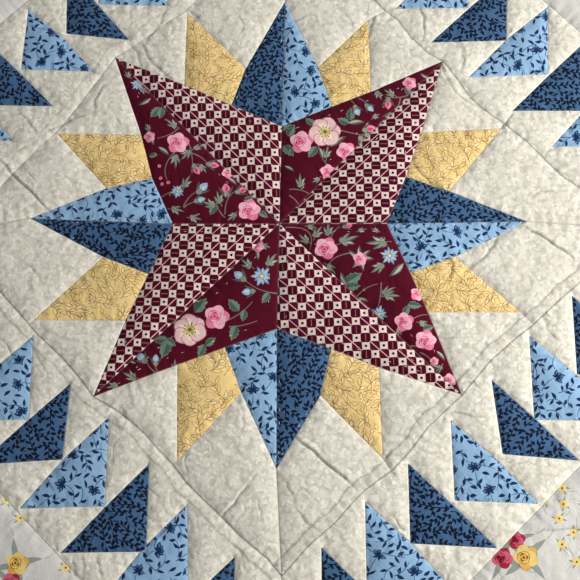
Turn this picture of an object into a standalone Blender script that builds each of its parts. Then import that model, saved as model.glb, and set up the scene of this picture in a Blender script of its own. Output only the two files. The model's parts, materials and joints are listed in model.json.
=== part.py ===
"""A cut length of a pieced, hand-quilted cotton quilt, lying flat and face up.

Top, wadding and backing are quilted into one closed sheet: flat below, padded above.
The upper face dips along every seam, swells between the seams and carries the main creases.
Sizes are in millimetres and become metres where the mesh is built. +Z is up, the middle of the
star is above the origin, and the underside lies at z = 0.
"""

import math

import bmesh
import bpy
import numpy as np
from mathutils import Vector
from mathutils.geometry import delaunay_2d_cdt

MM = 0.001

# The sheet
PANEL_SIDE = 480.0
SEAM_THICKNESS = 3.0
PUFF_HEIGHT = 2.3
PUFF_REACH = 8.0
STAR_PUFF_DROP = 0.5
EDGE_THICKNESS = 2.6
EDGE_REACH = 7.0
EDGE_TUCK = 0.8

# The mesh
SEAM_STEP = 9.5
SHOULDER = 5.5
SHOULDER_CLEARANCE = 4.3
FILL_STEP = 10.5
FILL_CLEARANCE = 6.5
UNDERSIDE_STEP = 60.0

# The seam allowance is pressed to one side of the block's long seams
ALLOWANCE = 6.5
ALLOWANCE_HEIGHT = 0.35

# Compass points, looking outward: tip, notch between star points, two base corners on the star,
# and the two places on its long sides where the gold patches end
COMPASS_COLUMNS = ("tip", "notch", "left_base", "right_base", "left_side", "right_side")
COMPASS_ROWS = (
    ((2.5, 154.5), (1.0, 65.5), (-31.5, 80.0), (33.0, 79.5), (-22.5, 106.0), (24.0, 107.0)),
    ((154.5, 2.0), (67.0, 0.0), (79.5, 31.5), (81.0, -32.0), (106.5, 22.0), (109.0, -21.5)),
    ((-0.5, -154.5), (-1.0, -68.5), (32.0, -81.0), (-32.5, -80.5), (25.5, -110.0), (-22.0, -108.5)),
    ((-155.5, 2.0), (-66.5, -1.0), (-80.5, -34.0), (-80.5, 29.5), (-109.0, -23.0), (-109.0, 22.5)),
)

# Star points, looking outward: tip, and on each side the gold patch's corner on the star and its tip
STAR_COLUMNS = ("tip", "left_edge", "left_gold", "right_edge", "right_gold")
STAR_ROWS = (
    ((104.5, 109.0), (58.0, 90.0), (57.0, 141.5), (90.0, 62.0), (141.0, 65.0)),
    ((-106.0, 110.0), (-88.5, 59.0), (-142.0, 59.5), (-62.0, 94.0), (-61.5, 145.5)),
    ((-111.0, -111.5), (-61.0, -91.5), (-59.5, -150.5), (-93.5, -64.0), (-149.5, -64.0)),
    ((110.5, -109.0), (91.5, -57.5), (148.0, -57.0), (61.0, -92.5), (62.5, -148.0)),
)

# The block's outline between its corners, which lie beyond the compass tips
BLOCK_CORNERS = ((3.0, 219.0), (214.0, -2.0), (3.0, -217.0), (-205.0, -8.0))
BLOCK_SIDES = (
    ((74.0, 147.0), (105.0, 110.5), (131.0, 78.0), (168.0, 44.5)),
    ((153.0, -66.0), (112.0, -109.5), (77.0, -145.5), (28.0, -194.5)),
    ((-37.0, -180.0), (-76.0, -138.0), (-111.5, -112.0), (-134.0, -84.0)),
    ((-176.0, 22.5), (-142.5, 60.5), (-106.5, 110.5), (-62.5, 147.5)),
)

# Strips of flying geese outside each block side, measured from the middle of the star:
# outward normal, first goose's station along the strip, pitch, and the offsets of the geese's
# inner ends, right-angle corners, outer ends and of the seam to the outer patch
STRIP_COLUMNS = ("outward", "along", "first", "pitch", "inner", "corner", "outer", "far_seam")
STRIP_ROWS = (
    ((1, 1), (1, -1), -156.0, 34.4, 159.0, 193.0, 228.5, 232.0),
    ((1, -1), (-1, -1), -131.0, 36.3, 160.0, 195.5, 232.0, 234.0),
    ((-1, -1), (1, -1), -124.5, 36.1, 161.0, 197.5, 234.0, 235.5),
    ((-1, 1), (-1, -1), -157.0, 34.1, 158.5, 192.0, 225.0, 226.5),
)
GEESE_PER_STRIP = 9
GOOSE_LEAN = 1.5

# Main creases: line through three points, depth and half width
CREASE_COLUMNS = ("start", "middle", "end", "depth", "width")
CREASE_ROWS = (
    ((-177.0, 46.0), (-167.0, 35.0), (-145.0, 13.5), 0.9, 4.0),
    ((-88.0, 121.0), (-79.0, 109.0), (-67.5, 96.5), 0.8, 3.5),
    ((-12.0, -157.0), (-22.0, -168.0), (-39.0, -184.0), 0.8, 3.5),
    ((9.0, -134.0), (27.0, -148.0), (45.0, -166.0), 0.8, 3.5),
    ((108.0, -23.0), (103.0, -34.0), (93.0, -49.0), 0.7, 3.0),
    ((150.0, -4.0), (170.0, -17.0), (186.0, -27.0), 0.7, 3.5),
    ((143.0, -187.0), (162.0, -186.0), (184.0, -186.0), 0.6, 3.5),
)


def named_rows(columns: tuple, rows: tuple) -> list[dict]:
    """Returns each row of a table as a dictionary keyed by the column names."""
    return [dict(zip(columns, row)) for row in rows]


def star_seams() -> list[tuple]:
    """Returns the seams of the star, its compass points, gold patches and background."""
    seams = []
    compass = named_rows(COMPASS_COLUMNS, COMPASS_ROWS)
    stars = named_rows(STAR_COLUMNS, STAR_ROWS)
    middle = (0.0, -0.5)
    for index, (star, point) in enumerate(zip(stars, (compass[1], compass[0], compass[3], compass[2]))):
        clockwise = point
        counter = (compass[0], compass[3], compass[2], compass[1])[index]
        seams.append((middle, star["tip"]))
        seams.append((star["tip"], clockwise["notch"]))
        seams.append((star["tip"], counter["notch"]))
        seams.append((star["left_edge"], star["left_gold"]))
        seams.append((star["right_edge"], star["right_gold"]))
        seams.append((star["left_gold"], counter["right_side"]))
        seams.append((star["right_gold"], clockwise["left_side"]))
        seams.append((star["left_gold"], outward_to_block(star["left_gold"])))
        seams.append((star["right_gold"], outward_to_block(star["right_gold"])))
    for point, corner in zip(compass, BLOCK_CORNERS):
        seams.append((middle, point["notch"]))
        seams.append((point["notch"], point["tip"]))
        seams.append((point["left_base"], point["tip"]))
        seams.append((point["right_base"], point["tip"]))
        seams.append((point["tip"], corner))
    return seams


def block_outline() -> list[tuple]:
    """Returns the block's outline as pairs of neighbouring points."""
    ring = []
    for corner, side in zip(BLOCK_CORNERS, BLOCK_SIDES):
        ring.append(corner)
        ring.extend(side)
    return list(zip(ring, ring[1:] + ring[:1]))


def outward_to_block(point: tuple) -> tuple:
    """Returns the place on the block's outline that is nearest to a gold patch's tip."""
    best = None
    for start, end in block_outline():
        a = Vector(start)
        run = Vector(end) - a
        share = min(1.0, max(0.0, (Vector(point) - a).dot(run) / run.length_squared))
        foot = a + run * share
        gap = (foot - Vector(point)).length
        if best is None or gap < best[0]:
            best = (gap, (foot.x, foot.y))
    return best[1]


def strip_seams() -> list[tuple]:
    """Returns the seams of the four strips of flying geese, their mitres and far edges."""
    seams = []
    reach = PANEL_SIDE
    for strip in named_rows(STRIP_COLUMNS, STRIP_ROWS):
        outward = Vector(strip["outward"]).normalized()
        along = Vector(strip["along"]).normalized()
        for index in range(GEESE_PER_STRIP):
            station = strip["first"] + index * strip["pitch"]
            inner = along * station + outward * strip["inner"]
            outer = along * station + outward * strip["outer"]
            corner = along * (station + strip["pitch"] - GOOSE_LEAN) + outward * strip["corner"]
            if inside_mitre(inner, outward) and inside_mitre(outer, outward):
                seams.append((tuple(inner), tuple(outer)))
                seams.append((tuple(inner), tuple(corner)))
                seams.append((tuple(outer), tuple(corner)))
        far = outward * strip["far_seam"]
        seams.append((tuple(far - along * reach), tuple(far + along * reach)))
    for corner in BLOCK_CORNERS:
        heading = Vector(corner).normalized()
        seams.append((corner, tuple(heading * reach)))
    return seams


def inside_mitre(point: Vector, outward: Vector) -> bool:
    """Tells whether a point lies in the quarter of the quilt that a strip belongs to."""
    return point.x * outward.x > 0.0 and point.y * outward.y > 0.0


def crease_lines() -> list[tuple]:
    """Returns the main creases as (start, end, depth, width) stretches."""
    lines = []
    for crease in named_rows(CREASE_COLUMNS, CREASE_ROWS):
        for start, end in ((crease["start"], crease["middle"]), (crease["middle"], crease["end"])):
            lines.append((start, end, crease["depth"], crease["width"]))
    return lines


def distance_to_segment(points: np.ndarray, start: tuple, end: tuple) -> np.ndarray:
    """Returns the distance from every point to one straight stretch."""
    a = np.array(start, dtype=float)
    run = np.array(end, dtype=float) - a
    share = np.clip((points - a) @ run / max(run @ run, 1e-9), 0.0, 1.0)
    return np.linalg.norm(points - a - share[:, None] * run, axis=1)


def distance_to_lines(points: np.ndarray, lines: list) -> np.ndarray:
    """Returns the distance from every point to the nearest of several stretches."""
    nearest = np.full(len(points), np.inf)
    for line in lines:
        nearest = np.minimum(nearest, distance_to_segment(points, line[0], line[1]))
    return nearest


def heights(points: np.ndarray, seams: list) -> np.ndarray:
    """Returns the height of the quilt's upper face above its underside, in millimetres."""
    seam_gap = distance_to_lines(points, seams)
    puff = PUFF_HEIGHT * (1.0 - np.exp(-seam_gap / PUFF_REACH))
    from_middle = np.linalg.norm(points, axis=1)
    puff *= 1.0 - STAR_PUFF_DROP * np.exp(-(from_middle / (4.0 * PUFF_REACH)) ** 2)
    raised = SEAM_THICKNESS + puff
    block_gap = distance_to_lines(points, block_outline())
    raised += ALLOWANCE_HEIGHT * np.exp(-(block_gap / ALLOWANCE) ** 2)
    for start, end, depth, width in crease_lines():
        gap = distance_to_segment(points, start, end)
        raised -= depth * np.exp(-(gap / width) ** 2)
    edge_gap = PANEL_SIDE / 2 - np.abs(points).max(axis=1)
    blend = 1.0 - np.exp(-np.maximum(edge_gap, 0.0) / EDGE_REACH)
    return EDGE_THICKNESS + (raised - EDGE_THICKNESS) * blend


def stations(start: tuple, end: tuple, step: float) -> np.ndarray:
    """Returns evenly spaced points along a stretch, its ends included."""
    a = np.array(start, dtype=float)
    b = np.array(end, dtype=float)
    count = max(1, round(float(np.linalg.norm(b - a)) / step))
    return a + (b - a) * np.linspace(0.0, 1.0, count + 1)[:, None]


def on_sheet(points: np.ndarray, margin: float) -> np.ndarray:
    """Tells which points lie on the sheet, a margin in from its edge."""
    return np.abs(points).max(axis=1) < PANEL_SIDE / 2 - margin


def outline_ring(inset: float) -> np.ndarray:
    """Returns the sheet's outline, counter-clockwise from above, drawn in by an inset."""
    half = PANEL_SIDE / 2 - inset
    corners = ((-half, -half), (half, -half), (half, half), (-half, half))
    count = round(PANEL_SIDE / FILL_STEP)
    ring = []
    for start, end in zip(corners, corners[1:] + corners[:1]):
        a = np.array(start)
        b = np.array(end)
        ring.extend(a + (b - a) * share for share in np.linspace(0.0, 1.0, count, endpoint=False))
    return np.array(ring)


def keep_apart(candidates: np.ndarray, taken: list, clearance: float) -> None:
    """Adds to a list of points those candidates that keep a clearance from all in it."""
    for point in candidates:
        gaps = np.linalg.norm(np.array(taken) - point, axis=1)
        if gaps.min() >= clearance:
            taken.append(point)


def upper_points(ring: np.ndarray, seams: list) -> tuple[list, list]:
    """Chooses the upper face's points.

    Returns:
        The points, the outline's first, and the pairs of them that a seam or a crease joins.
    """
    points = list(ring)
    joined = []
    lines = [(line[0], line[1]) for line in seams + block_outline() + crease_lines()]
    for start, end in lines:
        run = stations(start, end, SEAM_STEP)
        inside = on_sheet(run, SHOULDER_CLEARANCE)
        previous = None
        for point, kept in zip(run, inside):
            if not kept:
                previous = None
                continue
            gaps = np.linalg.norm(np.array(points) - point, axis=1)
            index = int(gaps.argmin())
            if gaps[index] > SHOULDER_CLEARANCE / 2:
                index = len(points)
                points.append(point)
            if previous is not None and previous != index:
                joined.append((previous, index))
            previous = index
    shoulders = []
    for start, end in lines:
        run = stations(start, end, SEAM_STEP)
        middles = (run[1:] + run[:-1]) / 2
        heading = np.array(end, dtype=float) - np.array(start, dtype=float)
        side = np.array((-heading[1], heading[0])) / np.linalg.norm(heading) * SHOULDER
        shoulders.extend(middles + side)
        shoulders.extend(middles - side)
    shoulders = np.array(shoulders)
    clear = distance_to_lines(shoulders, lines) > SHOULDER_CLEARANCE
    shoulders = shoulders[clear & on_sheet(shoulders, SHOULDER_CLEARANCE)]
    keep_apart(shoulders, points, SHOULDER_CLEARANCE)
    half = PANEL_SIDE / 2
    rows = []
    for index, y in enumerate(np.arange(-half, half, FILL_STEP * math.sqrt(0.75))):
        shift = FILL_STEP / 2 if index % 2 else 0.0
        rows.extend((x + shift, y) for x in np.arange(-half, half, FILL_STEP))
    fill = np.array(rows)
    keep_apart(fill[on_sheet(fill, FILL_CLEARANCE)], points, FILL_CLEARANCE)
    return points, joined


def triangles(points: list, joined: list) -> tuple[np.ndarray, list]:
    """Joins points into triangles with a constrained Delaunay triangulation."""
    flat = [Vector(point) for point in points]
    found = delaunay_2d_cdt(flat, joined, [], 0, 1e-4)
    return np.array([tuple(point) for point in found[0]]), found[2]


def build_sheet() -> bmesh.types.BMesh:
    """Builds the closed sheet: upper face, rounded edge and flat underside."""
    seams = star_seams() + strip_seams()
    ring = outline_ring(EDGE_TUCK)
    upper, upper_faces = triangles(*upper_points(ring, seams))
    raised = heights(upper, seams + block_outline())
    sheet = bmesh.new()
    top = [sheet.verts.new((x * MM, y * MM, z * MM)) for (x, y), z in zip(upper, raised)]
    for face in upper_faces:
        sheet.faces.new([top[index] for index in face])
    girth = outline_ring(0.0)
    middle = [sheet.verts.new((x * MM, y * MM, EDGE_THICKNESS / 2 * MM)) for x, y in girth]
    coarse = np.arange(-PANEL_SIDE / 2, PANEL_SIDE / 2, UNDERSIDE_STEP)[1:]
    inner = [(x, y) for x in coarse for y in coarse]
    lower, lower_faces = triangles(list(ring) + inner, [])
    bottom = [sheet.verts.new((x * MM, y * MM, 0.0)) for x, y in lower]
    for face in lower_faces:
        sheet.faces.new([bottom[index] for index in reversed(face)])
    count = len(ring)
    for index in range(count):
        following = (index + 1) % count
        sheet.faces.new((middle[index], middle[following], top[following], top[index]))
        sheet.faces.new((bottom[index], bottom[following], middle[following], middle[index]))
    bmesh.ops.triangulate(sheet, faces=sheet.faces[:])
    sheet.normal_update()
    return sheet


def cotton() -> bpy.types.Material:
    """Returns the quilt's plain cream cotton."""
    material = bpy.data.materials.new("cream_cotton")
    material.use_nodes = True
    shader = material.node_tree.nodes["Principled BSDF"]
    shader.inputs["Base Color"].default_value = (0.60, 0.56, 0.46, 1.0)
    shader.inputs["Roughness"].default_value = 0.9
    shader.inputs["Metallic"].default_value = 0.0
    return material


def main() -> None:
    """Clears the scene and builds the quilt."""
    for existing in list(bpy.data.objects):
        bpy.data.objects.remove(existing, do_unlink=True)
    collection = bpy.data.collections.new("folded_star_quilt")
    bpy.context.scene.collection.children.link(collection)
    mesh = bpy.data.meshes.new("quilt")
    sheet = build_sheet()
    sheet.to_mesh(mesh)
    sheet.free()
    mesh.shade_smooth()
    quilt = bpy.data.objects.new("quilt", mesh)
    quilt.data.materials.append(cotton())
    collection.objects.link(quilt)


main()
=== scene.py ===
"""Dresses the quilt panel: pieced and printed cloth, padding, seams, quilting and soft light.

Layout tables and prints are in millimetres on the quilt's face, with the star's middle at (0, 0).
Every piece is built from them in metres, so each sits at the origin and takes its place from its mesh.
"""

import json
import logging
import math
from dataclasses import dataclass, field
from enum import Enum
from typing import Callable, Iterable, Sequence

import bmesh
import bpy
import numpy as np
from mathutils import Matrix, Vector
from mathutils.geometry import delaunay_2d_cdt

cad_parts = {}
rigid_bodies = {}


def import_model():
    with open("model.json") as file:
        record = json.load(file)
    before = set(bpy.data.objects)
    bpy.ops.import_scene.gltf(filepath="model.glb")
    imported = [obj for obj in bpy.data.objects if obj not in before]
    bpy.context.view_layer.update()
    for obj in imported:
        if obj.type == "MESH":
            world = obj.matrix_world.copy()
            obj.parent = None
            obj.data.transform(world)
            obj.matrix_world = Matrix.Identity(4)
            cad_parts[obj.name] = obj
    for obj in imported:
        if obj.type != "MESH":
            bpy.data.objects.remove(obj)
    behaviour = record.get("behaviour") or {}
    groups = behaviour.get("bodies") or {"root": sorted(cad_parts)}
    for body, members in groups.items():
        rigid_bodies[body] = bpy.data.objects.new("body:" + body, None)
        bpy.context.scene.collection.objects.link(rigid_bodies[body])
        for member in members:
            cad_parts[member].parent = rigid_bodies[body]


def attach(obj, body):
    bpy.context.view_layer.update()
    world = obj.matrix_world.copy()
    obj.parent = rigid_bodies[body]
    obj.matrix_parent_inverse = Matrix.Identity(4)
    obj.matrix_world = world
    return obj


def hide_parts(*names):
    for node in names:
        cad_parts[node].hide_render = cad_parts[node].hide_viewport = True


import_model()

LOG = logging.getLogger("quilt")
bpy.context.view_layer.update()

MM = 0.001
Point = tuple[float, float]
Outline = list[Point]


class Cloth(Enum):
    """The printed cottons that the patches are cut from."""

    CREAM = "cream_ground"
    ROSE = "burgundy_roses"
    CHECK = "burgundy_check"
    NAVY = "navy_leaves"
    SKY = "sky_florals"
    GOLD = "gold_leaves"
    WHITE = "white_florals"


GEESE = (Cloth.NAVY, Cloth.SKY)


@dataclass(frozen=True)
class Ink:
    """One printed colour, as screen values from 0 to 255."""

    red: float
    green: float
    blue: float

    def linear(self) -> tuple[float, float, float, float]:
        """Converts the colour for a shader.

        Returns:
            Linear red, green, blue and full opacity.
        """
        channels = []
        for value in (self.red, self.green, self.blue):
            share = value / 255.0
            channels.append(share / 12.92 if share <= 0.04045 else ((share + 0.055) / 1.055) ** 2.4)
        return (channels[0], channels[1], channels[2], 1.0)


@dataclass(frozen=True)
class Inks:
    """Every colour of the prints."""

    cream: Ink = Ink(222, 216, 201)
    cream_shade: Ink = Ink(200, 195, 179)
    cream_light: Ink = Ink(234, 230, 218)
    thread: Ink = Ink(238, 233, 222)
    burgundy: Ink = Ink(77, 0, 25)
    check_pale: Ink = Ink(220, 198, 190)
    check_line: Ink = Ink(232, 178, 186)
    check_soft: Ink = Ink(186, 92, 108)
    check_dark: Ink = Ink(46, 0, 14)
    check_dot: Ink = Ink(24, 10, 16)
    rose_pale: Ink = Ink(232, 172, 188)
    rose_mid: Ink = Ink(220, 122, 150)
    rose_deep: Ink = Ink(184, 58, 94)
    open_pale: Ink = Ink(230, 192, 188)
    open_light: Ink = Ink(242, 222, 198)
    open_fold: Ink = Ink(190, 122, 136)
    pollen: Ink = Ink(226, 206, 128)
    stamen: Ink = Ink(40, 34, 22)
    aster: Ink = Ink(146, 172, 196)
    aster_light: Ink = Ink(182, 200, 214)
    aster_shade: Ink = Ink(108, 132, 160)
    stalk: Ink = Ink(118, 106, 98)
    leaf: Ink = Ink(66, 90, 78)
    leaf_light: Ink = Ink(104, 130, 112)
    leaf_rim: Ink = Ink(122, 122, 108)
    grey_dark: Ink = Ink(84, 84, 76)
    grey_mid: Ink = Ink(130, 136, 122)
    grey_light: Ink = Ink(164, 172, 156)
    navy_ground: Ink = Ink(64, 96, 132)
    navy_leaf: Ink = Ink(6, 15, 36)
    sky_ground: Ink = Ink(138, 173, 204)
    sky_stem: Ink = Ink(42, 68, 106)
    sky_mid: Ink = Ink(80, 116, 158)
    sky_dark: Ink = Ink(18, 42, 78)
    gold_ground: Ink = Ink(233, 202, 136)
    gold_line: Ink = Ink(146, 106, 50)
    gold_light: Ink = Ink(240, 214, 160)
    white_ground: Ink = Ink(206, 203, 196)
    crimson: Ink = Ink(166, 34, 58)
    crimson_light: Ink = Ink(202, 92, 114)
    amber: Ink = Ink(214, 168, 84)
    amber_pale: Ink = Ink(228, 198, 120)
    amber_shade: Ink = Ink(120, 68, 32)
    grey_leaf: Ink = Ink(142, 150, 142)


INK = Inks()


@dataclass(frozen=True)
class CompassPoint:
    """One blue compass point, seen looking outward from the star's middle."""

    tip: Point
    notch: Point
    left_base: Point
    right_base: Point
    left_side: Point
    right_side: Point


@dataclass(frozen=True)
class StarPoint:
    """One burgundy star point with the gold patches beside it, looking outward."""

    tip: Point
    left_edge: Point
    left_gold: Point
    right_edge: Point
    right_gold: Point


@dataclass(frozen=True)
class Strip:
    """One strip of flying geese outside a block side."""

    outward: Point
    along: Point
    first: float
    pitch: float
    inner: float
    corner: float
    outer: float
    far_seam: float


@dataclass(frozen=True)
class Nudge:
    """How far one goose's points lie from its strip's even spacing, in X and Y."""

    strip: int
    number: int
    inner: Point = (0.0, 0.0)
    corner: Point = (0.0, 0.0)
    outer: Point = (0.0, 0.0)


@dataclass(frozen=True)
class Crease:
    """A main crease: a fine trough with a soft ridge beside it."""

    start: Point
    middle: Point
    end: Point
    depth: float
    width: float = 0.7

    def stretches(self, count: int = 6) -> list[tuple[Point, Point, float]]:
        """Splits the crease into short straight stretches of a wavering curve.

        Args:
            count: The number of stretches.

        Returns:
            Each stretch's start, end and share of the depth, which fades towards the crease's ends.
        """
        share = np.linspace(0.0, 1.0, count + 1)[:, None]
        start, middle, end = (np.array(point) for point in (self.start, self.middle, self.end))
        curve = bowed(start, middle, end, share)
        run = end - start
        side = leftward(run) / float(np.linalg.norm(run))
        curve = curve + side * 0.5 * np.sin(share * 14.0 + start[0])
        centre = (share[1:, 0] + share[:-1, 0]) / 2
        fade = 1.0 - 0.8 * np.abs(2.0 * centre - 1.0) ** 3
        return [(pair(a), pair(b), float(part)) for a, b, part in zip(curve, curve[1:], fade)]


@dataclass(frozen=True)
class Patch:
    """One piece of cut cloth in the pieced top."""

    cloth: Cloth
    outline: tuple[Point, ...]
    grain: float
    holes: tuple[tuple[Point, ...], ...] = ()

    def box(self) -> tuple[np.ndarray, np.ndarray]:
        """Returns the outline's lowest and highest corners."""
        points = np.array(self.outline)
        return points.min(axis=0), points.max(axis=0)


def unit(vector: Point) -> np.ndarray:
    """Returns a vector's direction as an array of length one."""
    array = np.array(vector, dtype=float)
    return array / np.linalg.norm(array)


def edges_of(outline: Sequence) -> Iterable[tuple]:
    """Pairs each point of an outline with the next one, the last with the first."""
    return zip(outline, outline[1:] + outline[:1])


def leftward(run: np.ndarray) -> np.ndarray:
    """Returns a way turned a quarter to the left."""
    return np.array((-run[1], run[0]))


def bowed(start: np.ndarray, middle: np.ndarray, end: np.ndarray, share: np.ndarray) -> np.ndarray:
    """Returns points on the smooth curve that runs from start through middle to end."""
    control = 2.0 * middle - 0.5 * (start + end)
    return (1 - share) ** 2 * start + 2 * share * (1 - share) * control + share ** 2 * end


def pair(vector: Iterable[float]) -> Point:
    """Returns the first two values of a vector as plain numbers."""
    values = list(vector)
    return (float(values[0]), float(values[1]))


@dataclass
class Layout:
    """The quilt's piecing: block, compass, star, strips and outer patches."""

    panel_half: float = 239.5
    reach: float = 480.0
    geese_per_strip: int = 9
    goose_lean: float = 1.5
    middle: Point = (0.0, -0.5)
    compass: tuple[CompassPoint, ...] = (
        CompassPoint((2.5, 154.5), (1.0, 65.5), (-31.5, 80.0), (33.0, 79.5), (-22.5, 106.0), (24.0, 107.0)),
        CompassPoint((154.5, 2.0), (67.0, 0.0), (79.5, 31.5), (81.0, -32.0), (106.5, 22.0), (109.0, -21.5)),
        CompassPoint((-0.5, -154.5), (-1.0, -68.5), (32.0, -81.0), (-32.5, -80.5), (25.5, -110.0),
                     (-22.0, -108.5)),
        CompassPoint((-155.5, 2.0), (-66.5, -1.0), (-80.5, -34.0), (-80.5, 29.5), (-109.0, -23.0),
                     (-109.0, 22.5)),
    )
    stars: tuple[StarPoint, ...] = (
        StarPoint((104.8, 112.0), (58.0, 90.0), (57.0, 141.5), (90.0, 62.0), (141.0, 65.0)),
        StarPoint((110.5, -109.0), (91.5, -57.5), (148.0, -57.0), (61.0, -92.5), (62.5, -148.0)),
        StarPoint((-111.0, -111.5), (-61.0, -91.5), (-59.5, -150.5), (-93.5, -64.0), (-149.5, -64.0)),
        StarPoint((-107.4, 113.0), (-88.5, 59.0), (-142.0, 59.5), (-62.0, 94.0), (-61.5, 145.5)),
    )
    corners: tuple[Point, ...] = ((3.0, 219.0), (214.0, -2.0), (3.0, -217.0), (-205.0, -8.0))
    sides: tuple[tuple[tuple[Point, ...], tuple[Point, ...]], ...] = (
        (((67.6, 148.5), (76.0, 141.5), (85.5, 127.8), (95.0, 118.0)),
         ((114.2, 98.6), (122.2, 86.0), (129.6, 78.4), (143.3, 67.7), (157.4, 55.4), (167.7, 43.9),
          (177.3, 33.1), (188.8, 24.5))),
        (((186.0, -37.0), (173.0, -48.2), (153.8, -66.2), (145.7, -72.3), (128.7, -87.4)),
         ((101.9, -117.3), (89.6, -128.8), (79.2, -142.5), (68.3, -154.4), (51.7, -166.6), (43.4, -175.1),
          (34.0, -185.9), (18.2, -199.5))),
        (((-5.4, -207.1), (-21.3, -194.2), (-35.0, -180.7), (-53.0, -163.9), (-61.5, -153.1), (-80.0, -133.3),
          (-94.4, -121.2)),
         ((-121.2, -98.4), (-132.0, -86.6), (-146.6, -73.3), (-157.8, -60.7), (-176.0, -41.0))),
        (((-176.0, 22.5), (-160.0, 42.0), (-142.5, 60.5), (-131.0, 76.5), (-118.0, 96.5)),
         ((-92.0, 124.0), (-79.0, 135.0), (-62.5, 147.5))),
    )
    strips: tuple[Strip, ...] = (
        Strip((1, 1), (1, -1), -156.0, 34.4, 159.0, 193.0, 228.5, 232.0),
        Strip((1, -1), (-1, -1), -131.0, 36.3, 160.0, 195.5, 232.0, 234.0),
        Strip((-1, -1), (1, -1), -124.5, 36.1, 161.0, 197.5, 234.0, 235.5),
        Strip((-1, 1), (-1, -1), -157.0, 34.1, 158.5, 192.0, 225.0, 226.5),
    )
    creases: tuple[Crease, ...] = (
        Crease((-176.8, 40.5), (-163.2, 25.7), (-138.0, 1.8), 0.9),
        Crease((-89.5, 122.9), (-83.2, 109.3), (-68.0, 96.7), 0.6),
        Crease((-100.6, 123.5), (-93.8, 117.1), (-90.8, 106.4), 0.45),
        Crease((-74.9, 152.0), (-79.0, 138.1), (-88.3, 125.0), 0.5),
        Crease((-111.0, 95.0), (-117.6, 85.8), (-119.5, 71.8), 0.5),
        Crease((-119.6, 73.9), (-137.1, 66.8), (-152.5, 56.4), 0.5),
        Crease((-166.2, 72.9), (-159.4, 65.3), (-153.7, 56.4), 0.45),
        Crease((-168.9, 46.0), (-161.6, 49.5), (-151.3, 57.8), 0.4),
        Crease((-64.9, 148.4), (-57.6, 144.8), (-50.2, 133.9), 0.35),
        Crease((90.8, 150.2), (93.2, 139.3), (92.3, 126.3), 0.7),
        Crease((116.3, 125.0), (117.4, 117.9), (115.9, 110.7), 0.5),
        Crease((61.3, 147.8), (58.6, 135.4), (56.6, 128.2), 0.45),
        Crease((82.9, 42.3), (92.7, 29.5), (102.6, 23.5), 0.6),
        Crease((149.4, 77.2), (145.3, 70.2), (140.0, 64.6), 0.55),
        Crease((167.7, 46.3), (173.1, 51.8), (185.3, 54.6), 0.5),
        Crease((157.5, 15.8), (163.4, 21.2), (177.3, 22.0), 0.5),
        Crease((153.0, -2.2), (166.3, -10.6), (182.4, -23.0), 0.9),
        Crease((136.0, -7.6), (130.6, -17.4), (121.7, -26.6), 0.6),
        Crease((104.5, -22.2), (107.4, -28.7), (102.2, -39.1), 0.6),
        Crease((-33.2, -183.9), (-25.1, -175.1), (-12.5, -157.9), 0.9),
        Crease((-118.5, -206.4), (-117.1, -212.1), (-115.5, -220.1), 0.5),
        Crease((-104.5, -207.5), (-102.5, -213.2), (-101.1, -218.8), 0.5),
        Crease((-112.7, -207.5), (-111.3, -212.1), (-111.6, -217.8), 0.4),
        Crease((-94.5, -117.7), (-91.1, -124.8), (-92.6, -130.9), 0.5),
        Crease((9.2, -134.4), (26.5, -149.3), (47.1, -167.0), 0.95),
        Crease((101.9, -116.8), (112.0, -121.6), (127.5, -122.8), 0.5),
        Crease((151.9, -68.7), (154.1, -75.6), (152.5, -82.5), 0.4),
        Crease((162.7, -61.0), (165.2, -70.5), (172.3, -75.5), 0.4),
        Crease((67.8, -155.0), (64.4, -149.7), (67.4, -142.5), 0.5),
        Crease((10.6, -177.2), (18.3, -187.1), (26.5, -191.7), 0.4),
        Crease((150.1, -190.5), (166.0, -189.3), (182.5, -188.6), 0.5),
        Crease((3.5, -160.2), (6.5, -166.1), (10.6, -173.1), 0.4),
        Crease((117.0, 126.5), (118.6, 115.7), (116.3, 103.6), 0.5),
        Crease((103.6, 111.4), (112.7, 89.5), (131.5, 77.0), 0.5),
        Crease((12.3, 140.2), (20.1, 144.6), (24.1, 133.0), 0.3),
        Crease((-31.5, 145.7), (-24.8, 137.0), (-29.2, 126.9), 0.3),
        Crease((38.4, 144.7), (46.2, 139.0), (44.9, 127.4), 0.3),
        Crease((-141.7, 91.9), (-133.6, 83.6), (-137.0, 75.2), 0.3),
        Crease((-159.9, -27.2), (-151.0, -32.4), (-146.7, -41.4), 0.35),
        Crease((136.4, -154.6), (143.7, -149.8), (154.2, -152.1), 0.3),
        Crease((117.9, -141.6), (124.8, -146.3), (133.2, -143.9), 0.3),
        Crease((-27.5, -110.3), (-20.1, -124.3), (-24.6, -137.7), 0.3),
        Crease((92.3, -69.1), (100.7, -74.1), (116.5, -72.7), 0.3),
        Crease((146.3, -87.6), (161.5, -85.0), (173.9, -91.1), 0.35),
        Crease((60.4, -184.5), (64.9, -193.7), (62.4, -205.3), 0.35),
    )
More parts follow.
